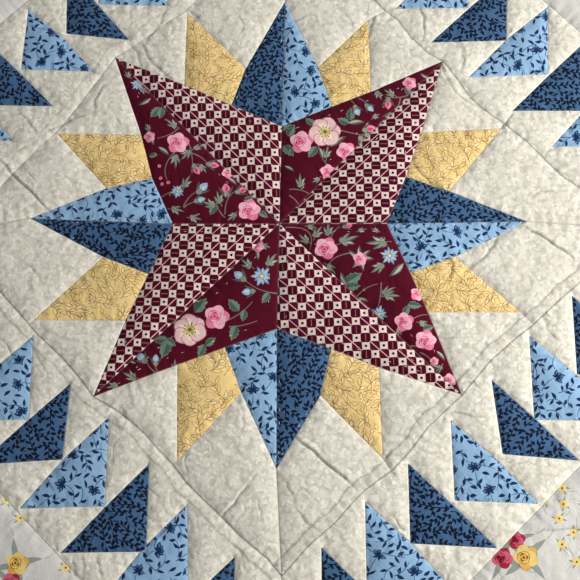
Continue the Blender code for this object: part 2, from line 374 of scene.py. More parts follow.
    nudges: tuple[Nudge, ...] = (
        Nudge(3, 4, (-1.3, -0.9), (4.3, 2.8), (3.0, 1.0)),
        Nudge(3, 5, (0.7, 0.6), (0.6, 0.9), (3.0, -2.0)),
        Nudge(0, 4, (-1.7, 0.0), (0.0, 0.9), (0.5, 0.0)),
        Nudge(0, 5, (-2.6, -0.6), (1.3, 1.3), (2.4, 2.0)),
        Nudge(0, 6, (0.6, 0.6), (0.0, 0.0), (0.0, 0.0)),
        Nudge(2, 2, (1.7, 2.8), (3.2, 1.5), (0.0, 0.5)),
        Nudge(2, 3, (0.4, -1.0), (-0.9, 3.0), (0.0, 0.8)),
        Nudge(2, 4, (-1.1, 4.1), (0.0, 0.8), (0.4, 0.6)),
        Nudge(2, 5, (-1.7, 1.5), (-0.4, 0.2), (0.4, 0.6)),
        Nudge(2, 6, (-3.9, 3.2), (-0.6, 0.0), (0.5, 0.5)),
        Nudge(2, 7, (-0.9, -1.5), (0.0, 0.0), (0.0, 0.0)),
        Nudge(1, 2, (-1.7, 0.0), (-1.5, -2.6), (0.0, -1.5)),
        Nudge(1, 3, (0.0, -1.9), (4.5, 2.4), (-0.4, 0.0)),
        Nudge(1, 4, (0.4, -1.3), (0.9, 0.2), (-0.4, 0.0)),
        Nudge(1, 5, (0.0, -1.9), (0.0, 0.8), (0.2, -0.4)),
        Nudge(1, 6, (0.0, 1.1), (0.0, 0.0), (0.0, 0.0)),
    )
    sky_bulge: float = 2.0
    navy_bulge: float = 0.4
    allowances: tuple[float, ...] = (0.10, 0.40, 0.30, 0.16)
    allowance_hands: tuple[float, ...] = (-1.0, -1.0, 1.0, 1.0)
    # Painted shade over each pressed allowance band, then along its outer edge.
    allowance_band_shades: tuple[float, ...] = (0.04, 0.22, 0.08, 0.02)
    allowance_shades: tuple[float, ...] = (0.12, 0.60, 0.40, 0.20)
    rolled_side: int = 1
    roll: float = 0.55
    side_shades: tuple[float, ...] = (0.75, 0.60, 0.95, 0.25)
    tip_shade: float = 0.40
    star_turns_deg: tuple[float, ...] = (2.0, -1.0, 3.0, -3.0)
    first_geese: tuple[Cloth, ...] = (Cloth.NAVY, Cloth.SKY, Cloth.SKY, Cloth.NAVY)
    patches: list[Patch] = field(default_factory=list)

    def build(self) -> "Layout":
        """Cuts every patch from the tables.

        Returns:
            The layout itself, with its patches filled in.
        """
        self._cut_block()
        self._cut_strips()
        self._cut_outer()
        return self

    def neighbours(self, index: int) -> tuple[CompassPoint, CompassPoint]:
        """Returns the compass points to the left and right of a star point, looking outward."""
        return self.compass[index], self.compass[(index + 1) % 4]

    def _cut_block(self) -> None:
        """Cuts the star, compass points, gold patches and cream background."""
        for index, star in enumerate(self.stars):
            left, right = self.neighbours(index)
            grain = math.radians(self.star_turns_deg[index])
            self._add(Cloth.ROSE, (self.middle, star.tip, star.left_edge, left.right_base, left.notch), grain)
            self._add(Cloth.CHECK, (self.middle, right.notch, right.left_base, star.right_edge, star.tip),
                      grain)
            self._add(Cloth.GOLD, (star.left_edge, star.left_gold, left.right_side, left.right_base), grain)
            self._add(Cloth.GOLD, (star.right_edge, right.left_base, right.left_side, star.right_gold), grain)
            before, after = self.sides[index]
            left_corner = self.corners[index]
            right_corner = self.corners[(index + 1) % 4]
            left_foot, left_near, left_far = self._split_side((star.tip, *before[::-1], left_corner),
                                                              star.left_gold)
            right_foot, right_near, right_far = self._split_side((star.tip, *after, right_corner),
                                                                 star.right_gold)
            self._add(Cloth.CREAM, (star.tip, *left_near, left_foot, star.left_gold, star.left_edge), grain)
            self._add(Cloth.CREAM, (star.tip, star.right_edge, star.right_gold, right_foot,
                                    *right_near[::-1]), grain)
            self._add(Cloth.CREAM, (star.left_gold, left_foot, *left_far, left_corner, left.tip,
                                    left.right_side), grain)
            self._add(Cloth.CREAM, (star.right_gold, right.left_side, right.tip, right_corner,
                                    *right_far[::-1], right_foot), grain)
        for index, point in enumerate(self.compass):
            grain = math.atan2(point.tip[1], point.tip[0])
            self._add(Cloth.NAVY, (point.notch, point.tip, point.left_side, point.left_base), grain)
            self._add(Cloth.SKY, (point.notch, point.right_base, point.right_side, point.tip), grain)

    def _split_side(self, run: tuple[Point, ...], gold: Point) -> tuple[Point, list[Point], list[Point]]:
        """Finds where a seam from a gold patch's tip meets the block's side.

        Args:
            run: The side's points from the star's tip to the block's corner.
            gold: The gold patch's tip.

        Returns:
            The meeting point, the side's points before it and those after it, both without the run's ends.
        """
        best = None
        for index, (start, end) in enumerate(zip(run, run[1:])):
            a = np.array(start)
            b = np.array(end)
            share = float(np.clip((np.array(gold) - a) @ (b - a) / ((b - a) @ (b - a)), 0.06, 0.94))
            foot = a + (b - a) * share
            gap = float(np.linalg.norm(foot - gold))
            if best is None or gap < best[0]:
                best = (gap, pair(foot), list(run[1:index + 1]), list(run[index + 1:-1]))
        return best[1], best[2], best[3]

    def geese(self, strip: Strip) -> list[tuple[Point, Point, Point, int]]:
        """Returns a strip's geese: inner end, right-angle corner, outer end and number.

        Args:
            strip: The strip.

        Returns:
            Each goose's inner end, right-angle corner, outer end and number.
        """
        outward = unit(strip.outward)
        along = unit(strip.along)
        found = []
        for number in range(self.geese_per_strip):
            station = strip.first + number * strip.pitch
            inner = along * station + outward * strip.inner
            outer = along * station + outward * strip.outer
            corner = along * (station + strip.pitch - self.goose_lean) + outward * strip.corner
            if min(inner * outward) > 0.0 and min(outer * outward) > 0.0:
                found.append((pair(inner), pair(corner), pair(outer), number))
        return found

    def _mitres(self, index: int) -> list[np.ndarray]:
        """Returns both outer ends of a strip, where its mitred seams reach its far seam.

        Args:
            index: The strip's number.

        Returns:
            The end at the first corner and the one at the next.
        """
        strip = self.strips[index]
        headings = (unit(self.corners[index]), unit(self.corners[(index + 1) % 4]))
        return [heading * strip.far_seam / float(heading @ unit(strip.outward)) for heading in headings]

    def _goose(self, index: int, number: int, cloth: Cloth, corners: tuple[Point, ...]) -> tuple[Point, ...]:
        """Nudges a goose's corners and bows its long side.

        Args:
            index: The strip's number.
            number: The goose's number in its strip.
            cloth: The goose's cloth.
            corners: Its inner end, right-angle corner and outer end.

        Returns:
            Its outline.
        """
        nudge = next((item for item in self.nudges if (item.strip, item.number) == (index, number)),
                     Nudge(index, number))
        inner, corner, outer = (pair(np.array(point) + shift) for point, shift in
                                zip(corners, (nudge.inner, nudge.corner, nudge.outer)))
        bulge = self.sky_bulge if cloth is Cloth.SKY else self.navy_bulge
        long_middle = (np.array(inner) + outer) / 2
        bow = pair(long_middle + unit(pair(long_middle - corner)) * bulge)
        return self._wound((inner, corner, outer, bow))

    def _cut_strips(self) -> None:
        """Cuts the four cream strips and the geese set into them."""
        for index, strip in enumerate(self.strips):
            along = unit(strip.along)
            grain = math.atan2(along[1], along[0])
            near_end, far_end = self._mitres(index)
            holes = []
            for *corners, number in self.geese(strip):
                cloth = GEESE[(number + GEESE.index(self.first_geese[index])) % 2]
                goose = self._goose(index, number, cloth, tuple(corners))
                holes.append(goose)
                self._add(cloth, goose, grain)
            outline = (*self.side_runs()[index], pair(far_end), pair(near_end))
            self._add(Cloth.CREAM, outline, grain, tuple(holes))

    def _cut_outer(self) -> None:
        """Cuts the white patches beyond the strips."""
        for index, strip in enumerate(self.strips):
            near_end, far_end = self._mitres(index)
            reach = unit(strip.outward) * self.reach
            outline = (pair(near_end), pair(near_end + reach), pair(far_end + reach), pair(far_end))
            self._add(Cloth.WHITE, outline, math.radians(2.0))

    @staticmethod
    def _wound(outline: Iterable[Point]) -> tuple[Point, ...]:
        """Returns an outline wound counter-clockwise.

        Args:
            outline: The outline's points, in order.

        Returns:
            The same points, in that order.
        """
        points = list(outline)
        area = sum(a[0] * b[1] - b[0] * a[1] for a, b in edges_of(points))
        return tuple(points if area > 0 else points[::-1])

    def _add(self, cloth: Cloth, outline: Iterable[Point], grain: float,
             holes: tuple[tuple[Point, ...], ...] = ()) -> None:
        """Adds one patch, cut off at the panel's edge.

        Args:
            cloth: The patch's cloth.
            outline: The outline's points, in order.
            grain: The turn of the cloth's grain, in radians.
            holes: Outlines to leave out.
        """
        points = self._trim(list(self._wound(outline)))
        if len(points) < 3:
            return
        kept = tuple(tuple(self._trim(list(hole))) for hole in holes)
        self.patches.append(Patch(cloth, tuple(points), grain, tuple(hole for hole in kept if len(hole) > 2)))

    def _trim(self, outline: Outline) -> Outline:
        """Cuts an outline off at the panel's four edges.

        Args:
            outline: The outline's points, in order.

        Returns:
            What is left of it, or nothing.
        """
        for axis, sign in ((0, 1.0), (0, -1.0), (1, 1.0), (1, -1.0)):
            kept: Outline = []
            for current, following in edges_of(outline):
                here = self.panel_half - sign * current[axis]
                there = self.panel_half - sign * following[axis]
                if here >= 0.0:
                    kept.append(current)
                if (here > 0.0) != (there > 0.0):
                    share = here / (here - there)
                    kept.append(pair(np.array(current) + (np.array(following) - current) * share))
            outline = self._without_repeats(kept)
            if len(outline) < 3:
                return []
        return outline

    @staticmethod
    def _without_repeats(outline: Outline) -> Outline:
        """Drops points that repeat the one before."""
        return [point for index, point in enumerate(outline)
                if math.dist(point, outline[index - 1]) > 0.02 or len(outline) == 1]

    def seams(self) -> list[tuple[Point, Point]]:
        """Returns every straight stretch of seam on the panel.

        Returns:
            Each stretch's ends, once.
        """
        stretches = {}
        for patch in self.patches:
            for outline in (patch.outline, *patch.holes):
                for start, end in edges_of(outline):
                    if self._on_panel_edge(start, end):
                        continue
                    key = tuple(sorted((tuple(np.round(start, 1)), tuple(np.round(end, 1)))))
                    stretches[key] = (start, end)
        return list(stretches.values())

    def _on_panel_edge(self, start: Point, end: Point) -> bool:
        """Tells whether a stretch lies along the panel's edge."""
        return any(min(abs(a), abs(b)) > self.panel_half - 0.01 and a * b > 0 for a, b in zip(start, end))

    def side_runs(self) -> list[list[Point]]:
        """Returns each block side from corner to corner, in the strips' order.

        Returns:
            Each side's points.
        """
        runs = []
        for index, star in enumerate(self.stars):
            before, after = self.sides[index]
            runs.append([self.corners[index], *before, star.tip, *after, self.corners[(index + 1) % 4]])
        return runs

    @staticmethod
    def allowance_width(station: np.ndarray, index: int) -> np.ndarray:
        """Returns the width of a block side's pressed allowance at distances along the side."""
        return 6.7 + 0.6 * np.sin(station * 0.21 + 2.0 * index) + 0.35 * np.sin(station * 0.55 + index)

    def allowance_edges(self, index: int) -> list[tuple[Point, Point]]:
        """Returns the outer edge of one block side's pressed allowance, as short stretches.

        Args:
            index: The block side's number.

        Returns:
            Each stretch's ends.
        """
        edge: list[Point] = []
        station = 0.0
        run = self.side_runs()[index]
        for start, end in zip(run, run[1:]):
            heading = unit((end[0] - start[0], end[1] - start[1]))
            side = leftward(heading) * self.allowance_hands[index]
            length = math.dist(start, end)
            for step in np.arange(0.0, length, 3.0):
                width = float(self.allowance_width(np.array(station + step), index))
                edge.append(pair(np.array(start) + heading * step + side * width))
            station += length
        return [(a, b) for a, b in zip(edge, edge[1:]) if math.dist(a, b) > 0.3]

    def fold_lines(self) -> list[tuple[Point, Point, float]]:
        """Returns every stretch where the cloth lies in shade: creases, block sides and allowances' edges.

        Returns:
            Each stretch's ends and how dark it is, from 0 to 1.
        """
        lines: list[tuple[Point, Point, float]] = []
        for crease in self.creases:
            lines.extend((start, end, crease.depth * share) for start, end, share in crease.stretches())
        for index, run in enumerate(self.side_runs()):
            lines.extend((start, end, self.side_shades[index]) for start, end in zip(run, run[1:]))
            shade = self.allowance_shades[index]
            lines.extend((start, end, shade) for start, end in self.allowance_edges(index))
        for point, corner in zip(self.compass, self.corners):
            lines.append((point.tip, corner, self.tip_shade))
        return lines


@dataclass
class Noise:
    """Smooth repeatable noise on the plane, from a table of seeded values."""

    seed: int
    size: int = 64

    def __post_init__(self) -> None:
        """Fills the table."""
        self.table = np.random.default_rng(self.seed).uniform(-1.0, 1.0, (self.size, self.size))

    def at(self, x: np.ndarray, y: np.ndarray) -> np.ndarray:
        """Reads the noise.

        Args:
            x: First coordinates, one cell of noise to each unit.
            y: Second coordinates.

        Returns:
            Values from -1 to 1.
        """
        column = np.floor(x).astype(int)
        row = np.floor(y).astype(int)
        across = x - column
        up = y - row
        across = across * across * (3.0 - 2.0 * across)
        up = up * up * (3.0 - 2.0 * up)
        size = self.size
        corner = [self.table[(row + b) % size, (column + a) % size] for b in (0, 1) for a in (0, 1)]
        lower = corner[0] * (1.0 - across) + corner[1] * across
        upper = corner[2] * (1.0 - across) + corner[3] * across
        return lower * (1.0 - up) + upper * up


@dataclass
class Relief:
    """The padded face's height, kept on a fine square grid and read between its points."""

    layout: Layout
    cell: float = 0.8
    half: float = 241.6
    low: float = 2.7
    loft: float = 5.5
    spread: float = 7.5
    rounds: int = 260
    seam_pull: float = 0.55
    seam_reach: float = 0.9
    edge_height: float = 2.4
    edge_reach: float = 6.0
    pucker: float = 0.60
    ditch: float = 0.34
    ditch_reach: float = 0.60

    def __post_init__(self) -> None:
        """Works out the height grid and its slopes."""
        count = int(round(2 * self.half / self.cell)) + 1
        self.axis = (np.arange(count) - (count - 1) / 2) * self.cell
        self.x, self.y = np.meshgrid(self.axis, self.axis)
        self.gap = np.full((count, count), 60.0)
        self.station = np.zeros((count, count))
        # Painted shade over the pressed allowance bands.
        self.band_shade = np.zeros((count, count))
        for number, (start, end) in enumerate(self.layout.seams()):
            self._near(start, end, number)
        height = self._pillows()
        height += self._puckers()
        height += self._creases()
        height += self._allowances()
        edge = np.maximum(self.layout.panel_half + 0.5 - np.maximum(np.abs(self.x), np.abs(self.y)), 0.0)
        blend = 1.0 - np.exp(-edge / self.edge_reach)
        self.height = self.edge_height + (height - self.edge_height) * blend
        self.rise_y, self.rise_x = np.gradient(self.height, self.cell)

    def _window(self, start: Point, end: Point, margin: float) -> tuple[slice, slice]:
        """Returns the grid's rows and columns near a stretch.

        Args:
            start: The stretch's start.
            end: The stretch's end.
            margin: How far outside it to look.

        Returns:
            The slices.
        """
        low = np.minimum(start, end) - margin
        high = np.maximum(start, end) + margin
        first = np.clip(np.searchsorted(self.axis, low), 0, len(self.axis))
        last = np.clip(np.searchsorted(self.axis, high), 0, len(self.axis))
        return slice(first[1], last[1]), slice(first[0], last[0])

    def _along(self, start: Point, end: Point, margin: float) -> tuple[
            tuple[slice, slice], np.ndarray, np.ndarray, np.ndarray, float]:
        """Measures the grid's points near a stretch.

        Args:
            start: The stretch's start.
            end: The stretch's end.
            margin: How far from the stretch to look.

        Returns:
            The window, the distance along the stretch, the signed distance to its left, the true distance
            to it, and its length.
        """
        window = self._window(start, end, margin)
        run = np.array(end) - start
        length = float(np.linalg.norm(run))
        heading = run / length
        dx = self.x[window] - start[0]
        dy = self.y[window] - start[1]
        forward = dx * heading[0] + dy * heading[1]
        left = dy * heading[0] - dx * heading[1]
        beyond = np.maximum(np.maximum(-forward, forward - length), 0.0)
        return window, forward, left, np.hypot(left, beyond), length

    def _near(self, start: Point, end: Point, number: int) -> None:
        """Lowers the seam distance near one stretch and keeps the station along it.

        Args:
            start: The stretch's start.
            end: The stretch's end.
            number: The stretch's number.
        """
        window, forward, _, gap, _ = self._along(start, end, 30.0)
        closer = gap < self.gap[window]
        self.gap[window] = np.where(closer, gap, self.gap[window])
        self.station[window] = np.where(closer, forward + number * 17.3, self.station[window])

    def _pillows(self) -> np.ndarray:
        """Lets the padding swell between the seams, as a stretched skin under even pressure does.

        Returns:
            The height in millimetres over the grid.
        """
        broad = Noise(3)
        fine = Noise(4)
        target = self.loft + 0.55 * broad.at(self.x / 34.0 + 9, self.y / 34.0 + 9)
        target += 0.40 * fine.at(self.x / 13.0 + 30, self.y / 13.0 + 30)
        pull = self.seam_pull * np.exp(-(self.gap / self.seam_reach) ** 2)
        give = (self.cell / self.spread) ** 2 / 4.0
        weight = give + pull
        wanted = (give * target + pull * self.low) / weight
        height = np.full_like(target, self.low + 1.0)
        for _ in range(self.rounds):
            around = np.empty_like(height)
            around[1:-1, 1:-1] = (height[:-2, 1:-1] + height[2:, 1:-1] + height[1:-1, :-2]
                                  + height[1:-1, 2:]) / 4.0
            around[0], around[-1] = around[1], around[-2]
            around[:, 0], around[:, -1] = around[:, 1], around[:, -2]
            height = (around + weight * wanted) / (1.0 + weight)
        return height

    def _puckers(self) -> np.ndarray:
        """Gathers the cloth in short ripples that run out from the seams.

        Returns:
            The change of height over the grid.
        """
        across = Noise(5)
        drift = Noise(6)
        ripple = across.at(self.station / 2.9, self.gap / 16.0 + 3.0)
        fade = np.exp(-self.gap / 6.5) * np.clip(self.gap / 1.2, 0.0, 1.0)
        crumple = drift.at(self.x / 5.2 + 0.25 * self.y / 5.2, self.y / 6.5)
        small = Noise(7).at(self.x / 2.6, self.y / 2.9)
        return self.pucker * (ripple * fade + 0.34 * crumple + 0.12 * small)

    def _creases(self) -> np.ndarray:
        """Presses in the main creases, each with a soft ridge on one side.

        Returns:
            The change of height over the grid.
        """
        trough = np.zeros_like(self.x)
        ridge = np.zeros_like(self.x)
        for crease in self.layout.creases:
            for start, end, share in crease.stretches():
                window, _, left, gap, _ = self._along(start, end, 7.0)
                depth = crease.depth * share
                dip = depth * np.exp(-(gap / (1.05 * crease.width)) ** 2)
                trough[window] = np.maximum(trough[window], dip)
                swell = np.exp(-((gap - 2.3 * crease.width) / (1.3 * crease.width)) ** 2)
                swell *= depth * np.clip(left / 0.5, 0.0, 1.0)
                ridge[window] = np.maximum(ridge[window], swell)
        return 0.35 * ridge - trough

    def _allowances(self) -> np.ndarray:
        """Raises the seam allowances that are pressed to one side of the block's long seams, and keeps the
        painted shade over them.

        Returns:
            The change of height over the grid.
        """
        rise = np.zeros_like(self.x)
        for index, run in enumerate(self.layout.side_runs()):
            hand = self.layout.allowance_hands[index]
            station = 0.0
            for start, end in zip(run, run[1:]):
                window, forward, left, gap, length = self._along(start, end, 12.0)
                across = left * hand
                inside_run = (forward > -1.0) & (forward < length + 1.0)
                width = self.layout.allowance_width(station + forward, index)
                band = 1.0 / (1.0 + np.exp((across - width) / 0.28))
                band *= 1.0 / (1.0 + np.exp(-(across - 0.2) / 0.25))
                change = self.layout.allowances[index] * band
                if index == self.layout.rolled_side:
                    change = change + self.layout.roll * np.exp(-((left - 0.9) / 0.8) ** 2)
                rise[window] = np.maximum(rise[window], change * inside_run)
                # Painted shade over the pressed allowance band.
                band_shading = self.layout.allowance_band_shades[index] * band * inside_run
                self.band_shade[window] = np.maximum(self.band_shade[window], band_shading)
                station += length
        return rise

    def folded(self, points: np.ndarray) -> np.ndarray:
        """Returns how deep each point lies in a fold or over a pressed allowance band, which sets its painted
        shade, from 0 to 1.

        Args:
            points: Points on the face, in millimetres.

        Returns:
            One value for each point.
        """
        deep = np.zeros(len(points))
        for start, end, depth in self.layout.fold_lines():
            origin = np.array(start)
            run = np.array(end) - origin
            low = np.minimum(start, end) - 1.6
            high = np.maximum(start, end) + 1.6
            near = np.flatnonzero(((points > low) & (points < high)).all(axis=1))
            away = points[near] - origin
            share = np.clip(away @ run / (run @ run), 0.0, 1.0)
            gap = np.linalg.norm(away - share[:, None] * run, axis=1)
            deep[near] = np.maximum(deep[near], depth * np.exp(-(gap / 0.50) ** 2))
        return np.minimum(np.maximum(deep, self._read(self.band_shade, points)), 1.0)

    def _read(self, grid: np.ndarray, points: np.ndarray) -> np.ndarray:
        """Reads a grid between its points.

        Args:
            grid: The grid.
            points: Points on the face, in millimetres.

        Returns:
            One value for each point.
        """
        place = (points - self.axis[0]) / self.cell
        place = np.clip(place, 0.0, len(self.axis) - 1.001)
        column = place[:, 0].astype(int)
        row = place[:, 1].astype(int)
        across = place[:, 0] - column
        up = place[:, 1] - row
        lower = grid[row, column] * (1.0 - across) + grid[row, column + 1] * across
        upper = grid[row + 1, column] * (1.0 - across) + grid[row + 1, column + 1] * across
        return lower * (1.0 - up) + upper * up

    def heights(self, points: np.ndarray) -> np.ndarray:
        """Returns the face's height at each point, in millimetres."""
        return self._read(self.height, points)

    def lowest(self, points: np.ndarray, reach: int = 6) -> np.ndarray:
        """Returns the lowest height within a few millimetres of each point.

        Args:
            points: Points on the face, in millimetres.
            reach: How many cells away to look.

        Returns:
            One height for each point.
        """
        low = self.height.copy()
        for axis in (0, 1):
            padded = np.pad(low, [(reach, reach) if side == axis else (0, 0) for side in (0, 1)], mode="edge")
            count = low.shape[axis]
            shifted = [np.take(padded, range(step, step + count), axis=axis) for step in range(2 * reach + 1)]
            low = np.minimum.reduce(shifted)
        return self._read(low, points)

    def slopes(self, points: np.ndarray) -> np.ndarray:
        """Returns the face's slope along X and Y at each point."""
        return np.stack((self._read(self.rise_x, points), self._read(self.rise_y, points)), axis=1)


@dataclass
class Motif:
    """A printed shape: an outline filled with one ink."""

    outline: np.ndarray
    ink: Ink

    def __post_init__(self) -> None:
        """Winds the outline counter-clockwise."""
        x, y = self.outline[:, 0], self.outline[:, 1]
        if float((x * np.roll(y, -1) - np.roll(x, -1) * y).sum()) < 0.0:
            self.outline = self.outline[::-1]


class Draw:
    """Small shapes that the prints are drawn with."""

    @staticmethod
    def ways(path: np.ndarray) -> list[float]:
        """Returns the heading at each point of a path, in radians."""
        return [math.atan2(y, x) for x, y in np.gradient(path, axis=0)]

    @staticmethod
    def off(at: Point, turn: float, reach: float) -> Point:
        """Returns the place at a distance in a direction."""
        return at[0] + reach * math.cos(turn), at[1] + reach * math.sin(turn)

    @staticmethod
    def put(shape: np.ndarray, at: Point, turn: float, ink: Ink) -> Motif:
        """Prints a shape in one ink, turned and moved into place."""
        return Motif(Draw.turned(shape, at, turn), ink)

    @staticmethod
    def turned(shape: np.ndarray, at: Point, turn: float) -> np.ndarray:
        """Turns and moves a shape.

        Args:
            shape: The shape's outline.
            at: Where its origin goes.
            turn: Its turn, in radians.

        Returns:
            The moved outline.
        """
        cosine = math.cos(turn)
        sine = math.sin(turn)
        x = shape[:, 0] * cosine - shape[:, 1] * sine + at[0]
        y = shape[:, 0] * sine + shape[:, 1] * cosine + at[1]
        return np.stack((x, y), axis=1)

    @staticmethod
    def disc(radius: float, count: int, wave: float = 0.0, lobes: int = 5, squash: float = 1.0) -> np.ndarray:
        """Returns a round shape whose edge may wave in lobes.

        Args:
            radius: Its radius.
            count: The number of points.
            wave: The waves' depth, as a share of the radius.
            lobes: The number of waves.
            squash: The width across, as a share of the length.

        Returns:
            Its outline.
        """
        angle = np.linspace(0.0, 2.0 * math.pi, count, endpoint=False)
        reach = radius * (1.0 + wave * np.cos(lobes * angle))
        return np.stack((reach * np.cos(angle), reach * np.sin(angle) * squash), axis=1)

    @staticmethod
    def leaf(length: float, width: float, bend: float = 0.0, count: int = 3) -> np.ndarray:
        """Returns a pointed leaf from the origin along +X.

        Args:
            length: Its length.
            width: Its greatest width.
            bend: How far its middle bends aside.
            count: The number of points along each side.

        Returns:
            Its outline.
        """
        share = np.linspace(0.0, 1.0, count + 2)
        half = width / 2 * np.sin(math.pi * share ** 0.85)
        middle = bend * np.sin(math.pi * share)
        upper = np.stack((share * length, middle + half), axis=1)
        lower = np.stack((share * length, middle - half), axis=1)[1:-1]
        return np.concatenate((lower, upper[::-1]))

    @staticmethod
    def stem(path: np.ndarray, width: float) -> np.ndarray:
        """Returns a thin band along a path, tapering a little to its end.

        Args:
            path: Points along it.
            width: Its greatest width.

        Returns:
            Its outline.
        """
        run = np.gradient(path, axis=0)
        run /= np.linalg.norm(run, axis=1)[:, None] + 1e-9
        side = np.stack((-run[:, 1], run[:, 0]), axis=1)
        half = width / 2 * np.linspace(1.1, 0.6, len(path))[:, None]
        return np.concatenate((path + side * half, (path - side * half)[::-1]))

    @staticmethod
    def arc(start: Point, turn: float, length: float, curl: float, count: int = 6) -> np.ndarray:
        """Returns a curved path of a length from a point, its heading changing evenly by curl.

        Args:
            start: Its first point.
            turn: Its first heading, in radians.
            length: Its length.
            curl: How far it turns, in radians.
            count: The number of points.

        Returns:
            Its points.
        """
        heading = turn + curl * np.linspace(0.0, 1.0, count)
        step = length / (count - 1)
        x = start[0] + np.concatenate(([0.0], np.cumsum(np.cos(heading[:-1]) * step)))
        y = start[1] + np.concatenate(([0.0], np.cumsum(np.sin(heading[:-1]) * step)))
        return np.stack((x, y), axis=1)


class Garden:
    """Flowers, buds and leaves, each a list of motifs from the lowest to the topmost."""

    @staticmethod
    def rose(at: Point, radius: float, turn: float, pale: Ink, mid: Ink, deep: Ink) -> list[Motif]:
        """Draws a full rose: overlapping edged petals round an off-centre cup with a dark heart.

        Args:
            at: Its middle.
            radius: Its radius.
            turn: Its turn, in radians.
            pale: The petals' ink.
            mid: The ink of their edges.
            deep: The heart's ink.

        Returns:
            The motifs, the topmost last.
        """
        shapes = []
        petals = ((-2.3, 0.46, 0.58, mid), (2.4, 0.44, 0.56, pale), (-1.2, 0.50, 0.52, pale),
                  (0.0, 0.50, 0.56, mid), (1.2, 0.44, 0.56, pale), (-0.5, 0.34, 0.50, pale))
        for angle, reach, size, ink in petals:
            heading = turn + angle
            centre = Draw.off(at, heading, reach * radius)
            edge = Draw.disc(radius * size * 1.06, 12, 0.035, 4, 0.94)
            shapes.append(Draw.put(edge, centre, heading, deep if ink is mid else mid))
            inner = Draw.off(centre, heading, 0.04 * radius)
            shapes.append(Draw.put(Draw.disc(radius * size * 0.96, 12, 0.035, 4, 0.92), inner, heading, ink))
        cup = Draw.off(at, turn + 2.6, 0.16 * radius)
        shapes.append(Draw.put(Draw.disc(radius * 0.52, 12, 0.05, 3), cup, turn, deep))
        shapes.append(Draw.put(Draw.disc(radius * 0.47, 12, 0.05, 3), cup, turn, mid))
        folds = ((0.4, 0.30, 0.70, pale), (2.6, 0.30, 0.60, pale), (-1.7, 0.31, 0.62, pale),
                 (1.3, 0.19, 0.44, deep), (3.4, 0.18, 0.40, deep), (-0.6, 0.18, 0.40, deep))
        for angle, reach, length, ink in folds:
            heading = turn + angle
            start = Draw.off(Draw.off(cup, heading, reach * radius), heading + 1.57, -0.5 * length * radius)
            crescent = Draw.leaf(radius * length, radius * 0.15, -radius * 0.11, 4)
            shapes.append(Draw.put(crescent, start, heading + 1.57, ink))
        shapes.append(Draw.put(Draw.disc(radius * 0.12, 7), cup, turn, deep))
        return shapes

    @staticmethod
    def open_rose(at: Point, radius: float, turn: float) -> list[Motif]:
        """Draws an open rose: broad pale petals round a yellow middle with dark stamens.

        Args:
            at: Its middle.
            radius: Its radius.
            turn: Its turn, in radians.

        Returns:
            The motifs, the topmost last.
        """
        shapes = []
        for number in range(6):
            angle = turn + number * math.pi / 3 + 0.12 * (number % 2)
            size = radius * (0.47 if number % 2 else 0.43)
            centre = Draw.off(at, angle, 0.54 * radius)
            shapes.append(Draw.put(Draw.disc(size * 1.06, 13, 0.06, 4, 1.16), centre, angle, INK.open_fold))
            shapes.append(Draw.put(Draw.disc(size * 0.95, 13, 0.06, 4, 1.16), centre, angle, INK.open_pale))
            glow = Draw.leaf(radius * 0.72, radius * 0.30, 0.0, 4)
            shapes.append(Draw.put(glow, at, angle, INK.open_light))
        shapes.append(Draw.put(Draw.disc(radius * 0.36, 12, 0.14, 5), at, turn, INK.pollen))
        for number in range(11):
            angle = turn + number * math.tau / 11
            reach = radius * (0.38 if number % 2 else 0.29)
            thread = Draw.stem(Draw.arc(at, angle, reach, 0.2, 3), radius * 0.035)
            tip = Draw.off(at, angle + 0.1, reach)
            shapes.append(Motif(thread, INK.stamen))
            shapes.append(Draw.put(Draw.disc(radius * 0.048, 5), tip, 0.0, INK.stamen))
        shapes.append(Draw.put(Draw.disc(radius * 0.10, 6), at, 0.0, INK.grey_dark))
        return shapes

    @staticmethod
    def aster(at: Point, radius: float, turn: float) -> list[Motif]:
        """Draws a blue aster: narrow petals round a small yellow middle.

        Args:
            at: Its middle.
            radius: Its radius.
            turn: Its turn, in radians.

        Returns:
            The motifs, the topmost last.
        """
        shapes = []
        for number in range(11):
            angle = turn + number * math.tau / 11
            length = radius * (1.05 if number % 2 else 0.84)
            petal = Draw.leaf(length, radius * 0.40, 0.0, 3)
            shapes.append(Draw.put(petal, at, angle, INK.aster if number % 3 else INK.aster_shade))
            vein = Draw.leaf(length * 0.8, radius * 0.09, 0.0, 2)
            shapes.append(Draw.put(vein, at, angle, INK.aster_light))
        shapes.append(Draw.put(Draw.disc(radius * 0.24, 7), at, turn, INK.grey_dark))
        shapes.append(Draw.put(Draw.disc(radius * 0.19, 6), at, turn, INK.pollen))
        return shapes

    @staticmethod
    def broad_leaf(at: Point, to: Point) -> list[Motif]:
        """Draws a toothed leaf, one half darker, from its stalk to its tip.

        Args:
            at: Its foot.
            to: Its tip.

        Returns:
            The motifs, the topmost last.
        """
        length = 0.86 * math.dist(at, to)
        turn = math.atan2(to[1] - at[1], to[0] - at[0])
        share = (0.0, 0.14, 0.30, 0.36, 0.52, 0.60, 0.74, 0.80, 1.0)
        half = (0.02, 0.20, 0.33, 0.27, 0.34, 0.23, 0.24, 0.13, 0.0)
        upper = np.array([(s * length, h * length) for s, h in zip(share, half)])
        lower = np.array([(s * length, -0.85 * h * length) for s, h in zip(share, half)])[1:-1]
        whole = np.concatenate((lower, upper[::-1]))
        dark = np.concatenate((upper * (0.94, 0.86), ((0.94 * length, 0.0), (0.0, 0.0))))
        light = np.concatenate((lower * (0.94, 0.84), ((0.92 * length, 0.0), (0.0, 0.0))))
        shapes = [Draw.put(whole, at, turn, INK.leaf_rim)]
        shapes.append(Draw.put(dark[:-1], at, turn, INK.leaf))
        shapes.append(Draw.put(light, at, turn, INK.leaf_light))
        return shapes

